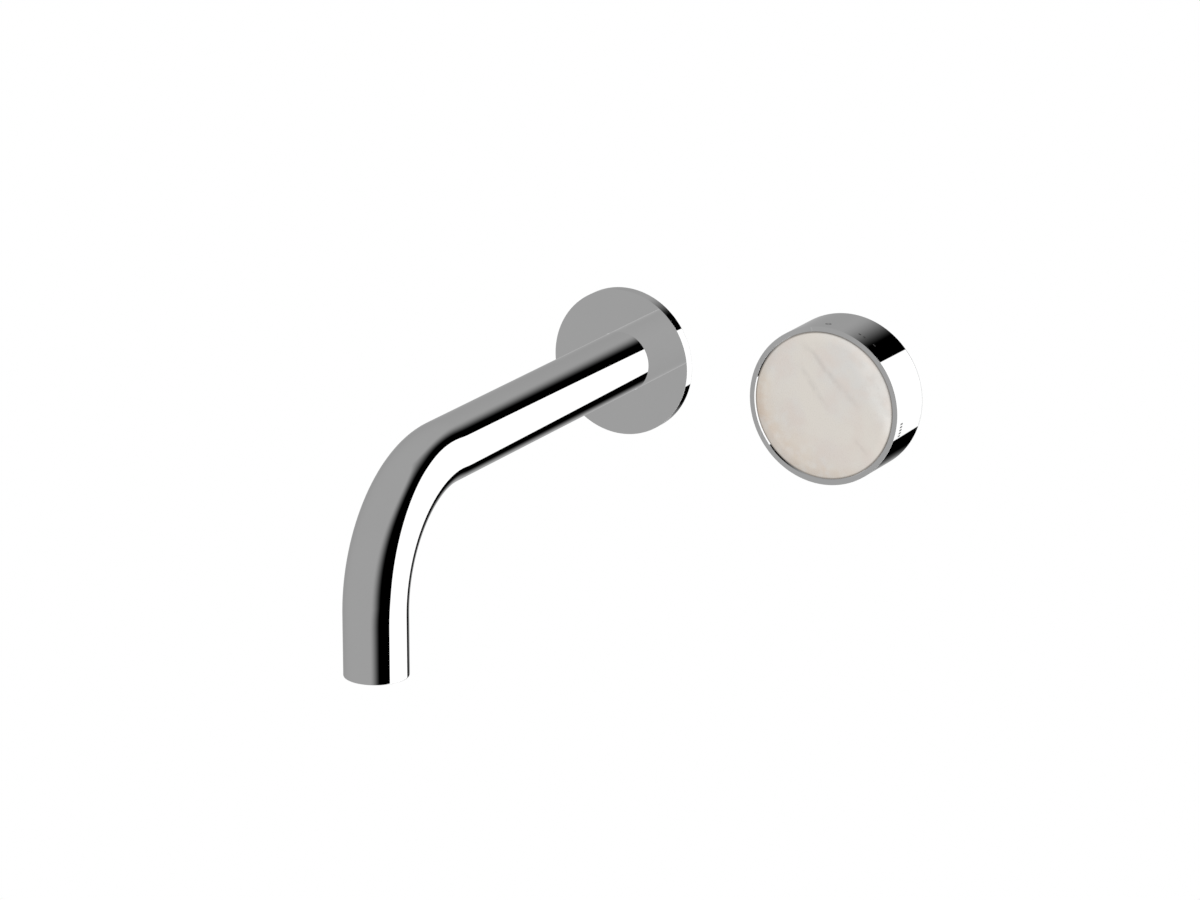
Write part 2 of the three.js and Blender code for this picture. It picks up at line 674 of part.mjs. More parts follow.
function handleAdapter() {
  const bore = discAbout(SPINDLE_R + SLIP, -12.4, 0, SMALL);
  const flat = new THREE.BoxGeometry(8, 6, 1).translate(0, KNOB_GRUB_Y, -ADAPTER_R);
  return onKnobAxis(joined([discAbout(ADAPTER_R, WEB_FRONT + SLIP, BOSS_BACK + 1)], [bore, flat]));
}

addNode("handle_adapter", handleAdapter(), "brass");
const knobGrub = grubScrew(KNOB_GRUB_R, 4.6, 2).rotateX(Math.PI / 2);
addNode("knob_grub_screw", onKnobAxis(knobGrub.translate(0, KNOB_GRUB_Y, -BOSS_R + 0.1)), "steel");

const SPINDLE_FRONT = -12;
const SPINDLE_BACK = 33.7;
const spindleRingY = 20;
const spindleProfile = [
  [0, SPINDLE_FRONT],
  [SPINDLE_R - 0.6, SPINDLE_FRONT],
  [SPINDLE_R, SPINDLE_FRONT + 0.6],
  ...grooveAround(spindleRingY, 1.1, SPINDLE_R - 1.4, SPINDLE_R),
  [SPINDLE_R, 26],
  [7, 26],
  [7, 29.7],
  [SPINDLE_R, 29.7],
  [SPINDLE_R, SPINDLE_BACK],
  [0, SPINDLE_BACK],
];
addNode("cartridge_spindle", onKnobAxis(turned(spindleProfile, SMALL)), "brass");
addNode("spindle_o_ring", onKnobAxis(cordRing(SPINDLE_R - 0.35, 1.5, spindleRingY, SMALL)), "rubber");

function discCarrier() {
  const bore = discAbout(SPINDLE_R + SLIP, 29, 34, SMALL);
  return onKnobAxis(joined([discAbout(DISC_R - 0.4, 30, 35.7)], [bore]));
}

addNode("disc_carrier", discCarrier(), "grey");

function movingDisc() {
  // A kidney-shaped recess on the back face sends water from the open ports to the outlet.
  const kidney = new THREE.Shape();
  kidney.absarc(0, 0, 11.4, -0.2, Math.PI * 0.95, false);
  kidney.absarc(0, 0, 4.6, Math.PI * 0.95, -0.2, true);
  const recess = new THREE.ExtrudeGeometry(kidney, { depth: 3, bevelEnabled: false, curveSegments: 10 });
  recess.rotateX(Math.PI / 2).translate(0, 40.2, 0);
  return onKnobAxis(joined([discAbout(DISC_R - 0.4, 36, 38.6)], [recess]));
}

addNode("moving_ceramic_disc", movingDisc(), "ceramic");

export default group;
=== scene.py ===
"""Looks of the wall mounted bath faucet: fine meshes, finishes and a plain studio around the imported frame."""

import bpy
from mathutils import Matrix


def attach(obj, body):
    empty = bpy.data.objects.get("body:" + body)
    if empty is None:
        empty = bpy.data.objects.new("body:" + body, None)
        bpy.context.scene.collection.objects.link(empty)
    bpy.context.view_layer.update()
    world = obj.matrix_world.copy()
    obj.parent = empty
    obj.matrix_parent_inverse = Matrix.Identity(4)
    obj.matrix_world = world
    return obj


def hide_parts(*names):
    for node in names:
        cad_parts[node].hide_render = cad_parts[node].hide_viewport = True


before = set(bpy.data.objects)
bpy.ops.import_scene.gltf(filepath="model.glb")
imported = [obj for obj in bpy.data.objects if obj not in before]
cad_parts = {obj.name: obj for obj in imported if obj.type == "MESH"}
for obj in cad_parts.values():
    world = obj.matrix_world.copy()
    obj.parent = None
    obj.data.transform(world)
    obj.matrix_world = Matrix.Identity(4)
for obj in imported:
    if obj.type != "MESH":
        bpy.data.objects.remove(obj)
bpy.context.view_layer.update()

import functools
import logging
import math
from collections.abc import Callable, Iterable
from dataclasses import dataclass, field
from enum import Enum

import bmesh
import bpy
from mathutils import Vector

LOG = logging.getLogger("bath_faucet")

# The set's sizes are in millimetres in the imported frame: the wall's face is Y 0 and the spout's axis is X 0.
MM = 0.001
KNOB_X = 100.0
CASTING_BACK = 66.0
EAR_FRONT = 62.0
WATERWAY = 50.0
INLET_ASIDE = 17.0
EAR_SCREWS = {
    "elbow_screw_upper": (0.0, 24.0),
    "elbow_screw_lower": (0.0, -24.0),
    "mixer_screw_left": (KNOB_X - 20, 30.0),
    "mixer_screw_right": (KNOB_X + 20, 30.0),
    "mixer_screw_lower": (KNOB_X, -29.0),
}

# Corners in a fine and in a coarse ring, and faces in a rounding.
FINE = 96
COARSE = 48
ROUND_FACES = 5

Place = tuple[float, float, float]
Colour = tuple[float, float, float, float]
Shape = Callable[[float, float, float], float]
Station = tuple[float, float, Shape | None]
Frame = Callable[[float], tuple[Vector, Vector, Vector]]
Thing = bpy.types.Object
Socket = bpy.types.NodeSocket


class Body(Enum):
    """The rigid bodies of the set."""

    FIXTURE = "fixture"
    KNOB = "knob"


class Slot(Enum):
    """The material slots of the record."""

    CHROME = "chrome"
    BRASS = "brass"
    COPPER = "copper"
    STEEL = "steel"
    ZINC = "zinc_steel"
    RUBBER = "rubber"
    WHITE = "white_plastic"
    GREY = "grey_plastic"
    CERAMIC = "ceramic"
    MARBLE = "marble"


class Axis(Enum):
    """The way heights count on a round piece, after the two directions that span its section."""

    INTO_WALL = ((0, 0, 1), (1, 0, 0), (0, 1, 0))
    OUT_OF_WALL = ((1, 0, 0), (0, 0, 1), (0, -1, 0))
    RIGHT = ((0, 1, 0), (0, 0, 1), (1, 0, 0))
    LEFT = ((0, 0, 1), (0, 1, 0), (-1, 0, 0))
    UP = ((1, 0, 0), (0, 1, 0), (0, 0, 1))
    DOWN = ((0, 1, 0), (1, 0, 0), (0, 0, -1))

    def frame(self, centre: Place) -> Frame:
        """Returns the function that gives a ring's middle and its two directions at a height."""
        across, up, along = (Vector(way) for way in self.value)
        return lambda height: (Vector(centre) + along * height, across, up)


# ---- sections


def plain(*points: tuple[float, float]) -> list[Station]:
    """Returns the stations of a plain run, from the radius and height of each point."""
    return [(radius, height, None) for radius, height in points]


def contour(*corners: tuple[float, ...]) -> list[Station]:
    """Rounds the corners of a closed section.

    Args:
        *corners: radius and height of each corner, and its rounding where it has one.

    Returns:
        The stations of the section, with one just outside each end of a rounding to keep the flats flat.
    """
    stations: list[Station] = []
    for i, corner in enumerate(corners):
        here = Vector(corner[:2])
        rounding = corner[2] if len(corner) > 2 else 0.0
        if not rounding:
            stations += plain(here)
            continue
        back = (Vector(corners[i - 1][:2]) - here).normalized()
        ahead = (Vector(corners[(i + 1) % len(corners)][:2]) - here).normalized()
        half = back.angle(ahead) / 2
        reach = rounding / math.tan(half)
        middle = here + (back + ahead).normalized() * (rounding / math.sin(half))
        start, end = here + back * reach - middle, here + ahead * reach - middle
        first = math.atan2(start.y, start.x)
        sweep = (math.atan2(end.y, end.x) - first + math.pi) % math.tau - math.pi
        guard = min(0.06, 0.2 * rounding)
        arc = [here + back * (reach + guard)]
        for k in range(ROUND_FACES + 1):
            turn = first + sweep * k / ROUND_FACES
            arc.append(middle + rounding * Vector((math.cos(turn), math.sin(turn))))
        stations += plain(*arc, here + ahead * (reach + guard))
    return stations


def band(inner: float, outer: float, low: float, high: float, *roundings: float) -> list[Station]:
    """Returns the section of a plain ring, with roundings from its inner low corner round."""
    corners = ((inner, low), (outer, low), (outer, high), (inner, high))
    return contour(*((*corner, rounding) for corner, rounding in zip(corners, roundings)))


def cord(radius: float, height: float, section: float) -> list[Station]:
    """Returns the round section of an O-ring, from its centre radius, height and thickness."""
    sides = 24
    turns = [i * math.tau / sides for i in range(sides)]
    return plain(*((radius + section / 2 * math.cos(t), height + section / 2 * math.sin(t)) for t in turns))


def dense(stations: list[Station], step: float) -> list[Station]:
    """Splits the long runs of a closed section, so that they can follow a bend.

    Args:
        stations: the section.
        step: longest run wanted.

    Returns:
        The section with the added stations.
    """
    result: list[Station] = []
    for here, after in zip(stations, stations[1:] + stations[:1]):
        parts = max(1, math.ceil(abs(after[1] - here[1]) / step))
        for k in range(parts):
            share = k / parts
            radius = here[0] + (after[0] - here[0]) * share
            result += plain((radius, here[1] + (after[1] - here[1]) * share))
    return result


@dataclass(frozen=True)
class Thread:
    """A screw thread cut into a turned surface."""

    crest: float
    depth: float
    pitch: float
    per_pitch: int = 8

    def cut(self, radius: float, height: float, angle: float) -> float:
        """Returns the radius at a height and an angle, between the root and the given crest."""
        phase = (height / self.pitch - angle / math.tau) % 1
        wave = min(max(1.35 * abs(2 * phase - 1) - 0.15, 0), 1)
        root = self.crest - self.depth
        return root + (radius - root) * (1 - wave)

    def run(self, start: float, end: float) -> list[Station]:
        """Returns the stations from the start, where the thread runs out, to its chamfered end."""
        count = round(abs(end - start) / self.pitch * self.per_pitch)
        stations = []
        for i in range(count + 1):
            height = start + (end - start) * i / count
            taper = min(abs(height - start), abs(height - end)) / self.depth
            radius = self.crest - self.depth * max(0, 1 - taper)
            stations.append((radius, height, self.cut))
        return stations


@dataclass(frozen=True)
class Hexagon:
    """Six flats on a round piece or in a socket."""

    flats: float

    def cut(self, radius: float, height: float, angle: float) -> float:
        """Returns the smaller of the radius and the hexagon's reach at an angle."""
        off = angle % (math.pi / 3) - math.pi / 6
        return min(radius, self.flats / 2 / math.cos(off))

    def ends(self, low: float, high: float) -> list[Station]:
        """Returns the stations of the flats from low to high, with both ends chamfered round."""
        face, corner, drop = self.flats * 0.475, self.flats / math.sqrt(3), 1.6
        shares = [k / ROUND_FACES for k in range(ROUND_FACES + 1)]
        rise = [(face + (corner - face) * share, drop * share) for share in shares]
        first = [(radius, low + height, self.cut) for radius, height in rise]
        return first + [(radius, high - height, self.cut) for radius, height in reversed(rise)]


# ---- meshes


@dataclass
class Draft:
    """Corners and faces of one piece while it is being made, in millimetres."""

    corners: list[Vector] = field(default_factory=list)
    faces: list[tuple[int, ...]] = field(default_factory=list)

    def ring(self, points: Iterable[Vector]) -> list[int]:
        """Adds corners and returns their numbers."""
        start = len(self.corners)
        self.corners.extend(points)
        return list(range(start, len(self.corners)))

    def bridge(self, first: list[int], second: list[int]) -> None:
        """Joins two closed rings, either of which may be a single corner."""
        count = max(len(first), len(second))
        low, high = (ring if len(ring) == count else ring * count for ring in (first, second))
        for i in range(count):
            j = (i + 1) % count
            self.faces.append(tuple(dict.fromkeys((low[i], low[j], high[j], high[i]))))

    def chain(self, rings: list[list[int]], closed: bool) -> None:
        """Joins each ring to the next and, if closed, the last to the first."""
        for first, second in zip(rings, rings[1:] + rings[:int(closed)]):
            self.bridge(first, second)

    def sweep(self, stations: list[Station], frame_at: Frame, sides: int = FINE) -> "Draft":
        """Adds a round solid.

        Args:
            stations: its section, which starts and ends on the axis or closes on itself.
            frame_at: gives the middle and the two directions of the ring at a height.
            sides: corners in each ring.

        Returns:
            This draft.
        """
        rings = []
        for radius, height, shape in stations:
            middle, across, up = frame_at(height)
            if radius <= 0:
                rings.append(self.ring([middle]))
                continue
            points = []
            for i in range(sides):
                turn = i * math.tau / sides
                reach = shape(radius, height, turn) if shape else radius
                points.append(middle + reach * (across * math.cos(turn) + up * math.sin(turn)))
            rings.append(self.ring(points))
        self.chain(rings, closed=stations[0][0] > 0)
        return self

    def rod(self, start: Place, end: Place, radius: float, sides: int = COARSE) -> "Draft":
        """Adds a plain bar between two points, for joining or cutting, and returns this draft."""
        first, run = Vector(start), Vector(end) - Vector(start)
        along = run.normalized()
        across = along.orthogonal().normalized()
        up = along.cross(across)

        def where(height: float) -> tuple[Vector, Vector, Vector]:
            """Returns the ring's middle and its two directions at a height."""
            return first + along * height, across, up

        return self.drill(where, 0, (radius, run.length), sides=sides)

    def drill(self, where: Frame, start: float, *steps: tuple[float, float], sides: int = COARSE) -> "Draft":
        """Adds a stepped bar for a drilled way.

        Args:
            where: gives the ring at a height.
            start: the height where it starts.
            *steps: radius of each step and the height where it ends.
            sides: corners in each ring.

        Returns:
            This draft.
        """
        corners = [(0, start)]
        for radius, end in steps:
            corners += [(radius, start), (radius, end)]
            start = end
        return self.sweep(plain(*corners, (0, start)), where, sides)

    def extrude(self, outline: list[Vector], way: Vector) -> "Draft":
        """Adds a solid from a flat outline and the way it is pulled, and returns this draft."""
        low = self.ring(outline)
        high = self.ring(p + way for p in outline)
        self.bridge(low, high)
        self.faces += [tuple(reversed(low)), tuple(high)]
        return self

    def slab(self, middle: tuple[float, float], half: tuple[float, float], corner: float,
             front: float, back: float) -> "Draft":
        """Adds a slab parallel to the wall.

        Args:
            middle: its middle, sideways and up.
            half: half its width and half its height.
            corner: radius of its corners.
            front: the depth where it starts.
            back: the depth where it ends.

        Returns:
            This draft.
        """
        outline, steps = [], 6
        for quarter, (right, top) in enumerate(((1, 1), (-1, 1), (-1, -1), (1, -1))):
            x = middle[0] + right * (half[0] - corner)
            z = middle[1] + top * (half[1] - corner)
            for i in range(steps + 1):
                turn = (quarter + i / steps) * math.pi / 2
                outline.append(Vector((x + corner * math.cos(turn), front, z + corner * math.sin(turn))))
        return self.extrude(outline, Vector((0, back - front, 0)))

    def build(self, name: str, sharp_deg: float = 30.0) -> Thing:
        """Returns the draft as a clean new object in metres, smooth below the sharp angle."""
        mesh = bpy.data.meshes.new(name)
        mesh.from_pydata([p * MM for p in self.corners], [], self.faces)
        mend(mesh)
        return smooth(place(name, mesh), sharp_deg)


def place(name: str, data: bpy.types.ID) -> Thing:
    """Puts a new object into the scene and returns it."""
    thing = bpy.data.objects.new(name, data)
    bpy.context.scene.collection.objects.link(thing)
    return thing


def hide(thing: Thing, *rays: str) -> None:
    """Hides an object from the named kinds of ray."""
    for ray in rays:
        setattr(thing, f"visible_{ray}", False)


def mend(mesh: bpy.types.Mesh) -> None:
    """Joins shared corners, splits many-sided faces, drops slivers and turns every face outwards."""
    tiny = 0.001 * MM
    work = bmesh.new()
    work.from_mesh(mesh)
    bmesh.ops.remove_doubles(work, verts=work.verts, dist=tiny / 10)
    bmesh.ops.triangulate(work, faces=[face for face in work.faces if len(face.verts) > 4])
    bmesh.ops.dissolve_degenerate(work, edges=work.edges, dist=tiny)
    bmesh.ops.recalc_face_normals(work, faces=work.faces)
    work.to_mesh(mesh)
    work.free()


def smooth(thing: Thing, sharp_deg: float = 30.0) -> Thing:
    """Shades an object smooth, with hard edges above the angle, and returns it."""
    thing.data.shade_smooth()
    thing.data.set_sharp_from_angle(angle=math.radians(sharp_deg))
    return thing


def settle(thing: Thing) -> Thing:
    """Replaces an object's mesh with its mesh after modifiers, and returns it."""
    graph = bpy.context.evaluated_depsgraph_get()
    mesh = bpy.data.meshes.new_from_object(thing.evaluated_get(graph))
    thing.modifiers.clear()
    thing.data = mesh
    return thing


def cut(base: Thing, *cutters: Draft) -> Thing:
    """Cuts each draft's solid from an object, and returns the object."""
    tools = [cutter.build("cutter") for cutter in cutters]
    for tool in tools:
        step = base.modifiers.new("cut", "BOOLEAN")
        step.operation = "DIFFERENCE"
        step.solver = "EXACT"
        step.object = tool
    settle(base)
    mend(base.data)
    for tool in tools:
        bpy.data.objects.remove(tool)
    return smooth(base)


def cast(draft: Draft, name: str) -> Thing:
    """Melts a draft's overlapping solids into one casting with soft corners, and returns it."""
    thing = draft.build(name)
    melt = thing.modifiers.new("melt", "REMESH")
    melt.mode = "VOXEL"
    melt.voxel_size = 0.85 * MM
    ease = thing.modifiers.new("ease", "SMOOTH")
    ease.factor = 0.5
    ease.iterations = 5
    return settle(thing)


def bevel(thing: Thing, width: float) -> Thing:
    """Rounds the hard edges of a sheet by a width in millimetres, and returns it."""
    hard_deg = 50
    step = thing.modifiers.new("bevel", "BEVEL")
    step.width = width * MM
    step.segments = 2
    step.limit_method = "ANGLE"
    step.angle_limit = math.radians(hard_deg)
    return smooth(settle(thing), hard_deg)


# ---- node helpers


@dataclass
class Tree:
    """A node tree with short calls for its nodes and links."""

    owner: bpy.types.NodeTree

    def put(self, kind: str, inputs: dict | None = None, **settings: object) -> bpy.types.Node:
        """Adds a node.

        Args:
            kind: its type name.
            inputs: socket name or number to a value or an output.
            **settings: its own properties.

        Returns:
            The node.
        """
        node = self.owner.nodes.new(kind)
        for name, value in settings.items():
            setattr(node, name, value)
        for key, value in (inputs or {}).items():
            self.feed(node.inputs[key], value)
        return node

    def feed(self, socket: Socket, value: Socket | float | tuple) -> None:
        """Links an output to a socket, or sets the socket's own value."""
        if isinstance(value, Socket):
            self.owner.links.new(value, socket)
        else:
            socket.default_value = value

    def math(self, how: str, *values: Socket | float) -> Socket:
        """Adds a Math node and returns its output."""
        return self.put("ShaderNodeMath", dict(enumerate(values)), operation=how).outputs[0]

    def vector(self, how: str, *values: Socket | tuple) -> bpy.types.Node:
        """Adds a Vector Math node and returns it."""
        return self.put("ShaderNodeVectorMath", dict(enumerate(values)), operation=how)

    def ramp(self, value: Socket, low: Socket | float, high: Socket | float,
             to: tuple[float, float] = (0.0, 1.0)) -> Socket:
        """Maps the range low to high smoothly onto another, and returns the output."""
        inputs = {"Value": value, "From Min": low, "From Max": high, "To Min": to[0], "To Max": to[1]}
        return self.put("ShaderNodeMapRange", inputs, interpolation_type="SMOOTHSTEP").outputs["Result"]

    def blend(self, share: Socket | float, first: Socket | tuple, second: Socket | tuple) -> Socket:
        """Mixes two colours and returns the result."""
        return self.put("ShaderNodeMix", {0: share, 6: first, 7: second}, data_type="RGBA").outputs[2]

    def noise(self, where: Socket, scale: Socket | float, detail: float = 3.0) -> Socket:
        """Adds noise in space and returns its factor."""
        return self.put("ShaderNodeTexNoise", {"Vector": where, "Scale": scale, "Detail": detail}).outputs[0]

    def group(self, inner: bpy.types.NodeTree, inputs: dict) -> bpy.types.Node:
        """Places a node group with its own values and returns its node."""
        node = self.owner.nodes.new("ShaderNodeGroup")
        node.node_tree = inner
        for key, value in inputs.items():
            self.feed(node.inputs[key], value)
        return node


def empty_tree(owner: bpy.types.Material | bpy.types.World) -> Tree:
    """Starts an empty node tree on a material or on the world, and returns it."""
    owner.use_nodes = True
    owner.node_tree.nodes.clear()
    return Tree(owner.node_tree)


def start_group(name: str, inputs: dict[str, float], outputs: tuple[str, ...]) -> tuple[Tree, dict, dict]:
    """Starts a shader node group that works on a point of the surface.

    Args:
        name: the group's name.
        inputs: each number that the group takes, with its usual value.
        outputs: each number that the group gives.

    Returns:
        The group's tree, its inputs by name and its outputs by name.
    """
    group = bpy.data.node_groups.new(name, "ShaderNodeTree")
    number = "NodeSocketFloat"
    group.interface.new_socket(name="Point", in_out="INPUT", socket_type="NodeSocketVector")
    for label, usual in inputs.items():
        group.interface.new_socket(name=label, in_out="INPUT", socket_type=number).default_value = usual
    for label in outputs:
        group.interface.new_socket(name=label, in_out="OUTPUT", socket_type=number)
    tree = Tree(group)
    return tree, tree.put("NodeGroupInput").outputs, tree.put("NodeGroupOutput").inputs


@functools.cache
def polish_group() -> bpy.types.NodeTree:
    """Returns the group that varies roughness over a surface, with broad haze and fine wipe marks."""
    usual = {"Haze Scale": 40.0, "Wipe Scale": 900.0, "Low": 0.02, "High": 0.05}
    tree, got, out = start_group("surface_polish", usual, ("Roughness", "Haze"))
    haze = tree.noise(got["Point"], got["Haze Scale"], 4.0)
    stretch = tree.put("ShaderNodeMapping", {"Vector": got["Point"], "Scale": (1.0, 0.15, 1.0)})
    wipes = tree.noise(stretch.outputs[0], got["Wipe Scale"], 2.0)
    both = tree.math("MULTIPLY_ADD", wipes, 0.35, tree.math("MULTIPLY", haze, 0.65))
    share = tree.ramp(both, 0.38, 0.62)
    spread = tree.math("SUBTRACT", got["High"], got["Low"])
    tree.feed(out["Roughness"], tree.math("MULTIPLY_ADD", share, spread, got["Low"]))
    tree.feed(out["Haze"], share)
    return tree.owner


@functools.cache
def edge_group() -> bpy.types.NodeTree:
    """Returns the group that marks worn outer edges, broken up by noise."""
    tree, got, out = start_group("edge_wear", {"Scale": 300.0, "Amount": 0.5}, ("Mask",))
    edge = tree.ramp(tree.put("ShaderNodeNewGeometry").outputs["Pointiness"], 0.51, 0.56)
    broken = tree.ramp(tree.noise(got["Point"], got["Scale"]), 0.3, 0.65)
    tree.feed(out["Mask"], tree.math("MULTIPLY", tree.math("MULTIPLY", edge, broken), got["Amount"]))
    return tree.owner


@functools.cache
def grain_group() -> bpy.types.NodeTree:
    """Returns the group that gives a cast or moulded grain, as a height and a mask of its pits."""
    usual = {"Grain Scale": 900.0, "Swell Scale": 90.0, "Pits": 0.4}
    tree, got, out = start_group("surface_grain", usual, ("Height", "Dirt"))
    fine = tree.noise(got["Point"], got["Grain Scale"], 4.0)
    swell = tree.noise(got["Point"], got["Swell Scale"], 2.0)
    pits = tree.math("MULTIPLY", tree.ramp(fine, 0.34, 0.5), got["Pits"])
    tree.feed(out["Height"], tree.math("MULTIPLY_ADD", swell, 0.6, pits))
    tree.feed(out["Dirt"], tree.ramp(fine, 0.48, 0.34))
    return tree.owner


@functools.cache
def vein_or_band_group() -> bpy.types.NodeTree:
    """Returns the group that draws one soft line in stone, which wanders about a straight run: a true veined
    streak, or a band of painted shade or painted highlight.
    """
    usual = {"Right": 0.0, "Up": 0.0, "Turn": 0.0, "Reach": 0.01, "Width": 0.001, "Wander": 0.004}
    tree, got, out = start_group("stone_vein_or_band", usual, ("Mask",))
    spot = tree.put("ShaderNodeSeparateXYZ", {0: got["Point"]}).outputs
    x = tree.math("SUBTRACT", spot["X"], got["Right"])
    z = tree.math("SUBTRACT", spot["Z"], got["Up"])
    cos, sin = tree.math("COSINE", got["Turn"]), tree.math("SINE", got["Turn"])
    along = tree.math("MULTIPLY_ADD", x, cos, tree.math("MULTIPLY", z, sin))
    aside = tree.math("SUBTRACT", tree.math("MULTIPLY", z, cos), tree.math("MULTIPLY", x, sin))
    drift = tree.math("SUBTRACT", tree.noise(got["Point"], 110.0, 5.0), 0.5)
    bent = tree.math("ABSOLUTE", tree.math("MULTIPLY_ADD", drift, got["Wander"], aside))
    line = tree.ramp(bent, got["Width"], 0.0)
    ends = tree.ramp(tree.math("DIVIDE", tree.math("ABSOLUTE", along), got["Reach"]), 1.0, 0.35)
    breaks = tree.ramp(tree.noise(got["Point"], 260.0, 3.0), 0.3, 0.62, (0.25, 1.0))
    tree.feed(out["Mask"], tree.math("MULTIPLY", tree.math("MULTIPLY", line, ends), breaks))
    return tree.owner


# ---- finishes


def grey(level: float) -> Colour:
    """Returns a neutral colour."""
    return (level, level, level, 1.0)


def shade(tone: Colour, share: float) -> Colour:
    """Returns a colour at a share of its light, at most white."""
    return (*(min(1.0, share * part) for part in tone[:3]), 1.0)


@dataclass(frozen=True)
class Finish:
    """What every finish has: a name, the record's slot it belongs to, and its Principled shader."""

    name: str
    slot: Slot

    @functools.cache
    def material(self) -> bpy.types.Material:
        """Returns the finish's material, made once."""
        made = bpy.data.materials.new(self.name)
        made.use_nodes = True
        tree = Tree(made.node_tree)
        shader = made.node_tree.nodes["Principled BSDF"]
        self.dress(tree, shader, tree.put("ShaderNodeTexCoord").outputs["Object"])
        return made

    def dress(self, tree: Tree, shader: bpy.types.Node, point: Socket) -> None:
        """Feeds the shader. Each finish says how."""
        raise NotImplementedError

    def bump(self, tree: Tree, shader: bpy.types.Node, height: Socket, depth: float, strength: float) -> None:
        """Raises the surface by a height, with a depth in metres."""
        node = tree.put("ShaderNodeBump", {"Height": height, "Distance": depth, "Strength": strength})
        tree.feed(shader.inputs["Normal"], node.outputs[0])


@dataclass(frozen=True)
class Metal(Finish):
    """A metal: plated, machined, drawn, sheet or cast."""

    light: Colour = grey(0.6)
    dark: Colour = grey(0.59)
    low: float = 0.0
    high: float = 0.02
    haze_scale: float = 40.0
    wear: float = 0.0
    grain: float = 0.0
    grain_scale: float = 900.0
    edge_tint: float = 1.0

    def dress(self, tree: Tree, shader: bpy.types.Node, point: Socket) -> None:
        """Feeds colour, roughness and, on a grained metal, the bump."""
        shader.inputs["Specular Tint"].default_value = grey(self.edge_tint)
        inputs = {"Point": point, "Haze Scale": self.haze_scale, "Low": self.low, "High": self.high}
        polish = tree.group(polish_group(), inputs).outputs
        tone = tree.blend(polish["Haze"], self.light, self.dark)
        shader.inputs["Metallic"].default_value = 1.0
        tree.feed(shader.inputs["Roughness"], polish["Roughness"])
        if self.wear:
            worn = tree.group(edge_group(), {"Point": point, "Amount": self.wear}).outputs["Mask"]
            tone = tree.blend(worn, tone, shade(self.light, 1.25))
        if self.grain:
            cast_skin = tree.group(grain_group(), {"Point": point, "Grain Scale": self.grain_scale}).outputs
            tone = tree.blend(tree.math("MULTIPLY", cast_skin["Dirt"], 0.6), tone, shade(self.dark, 0.45))
            self.bump(tree, shader, cast_skin["Height"], self.grain * MM, 0.6)
        tree.feed(shader.inputs["Base Color"], tone)


@dataclass(frozen=True)
class Moulded(Finish):
    """A moulded or pressed material: plastic, rubber or ceramic."""

    light: Colour = grey(0.8)
    dark: Colour = grey(0.7)
    low: float = 0.35
    high: float = 0.5
    grain: float = 0.03
    grain_scale: float = 1600.0

    def dress(self, tree: Tree, shader: bpy.types.Node, point: Socket) -> None:
        """Feeds colour, roughness and the fine moulded grain."""
        polish = tree.group(polish_group(), {"Point": point, "Low": self.low, "High": self.high}).outputs
        skin = tree.group(grain_group(), {"Point": point, "Grain Scale": self.grain_scale}).outputs
        tone = tree.blend(polish["Haze"], self.light, self.dark)
        tone = tree.blend(tree.math("MULTIPLY", skin["Dirt"], 0.5), tone, shade(self.dark, 0.8))
        tree.feed(shader.inputs["Base Color"], tone)
        tree.feed(shader.inputs["Roughness"], polish["Roughness"])
        self.bump(tree, shader, skin["Height"], self.grain * MM, 0.4)


@dataclass(frozen=True)
class VeinOrPaintedBand:
    """One soft line in the stone, a true veined streak or a band of painted shade or painted highlight: its
    middle from the stone's centre, its half length and width, and its turn in degrees.
    """

    right: float
    up: float
    turn: float
    reach: float
    width: float
    depth: float
    tone: Colour = (0.42, 0.39, 0.37, 1.0)


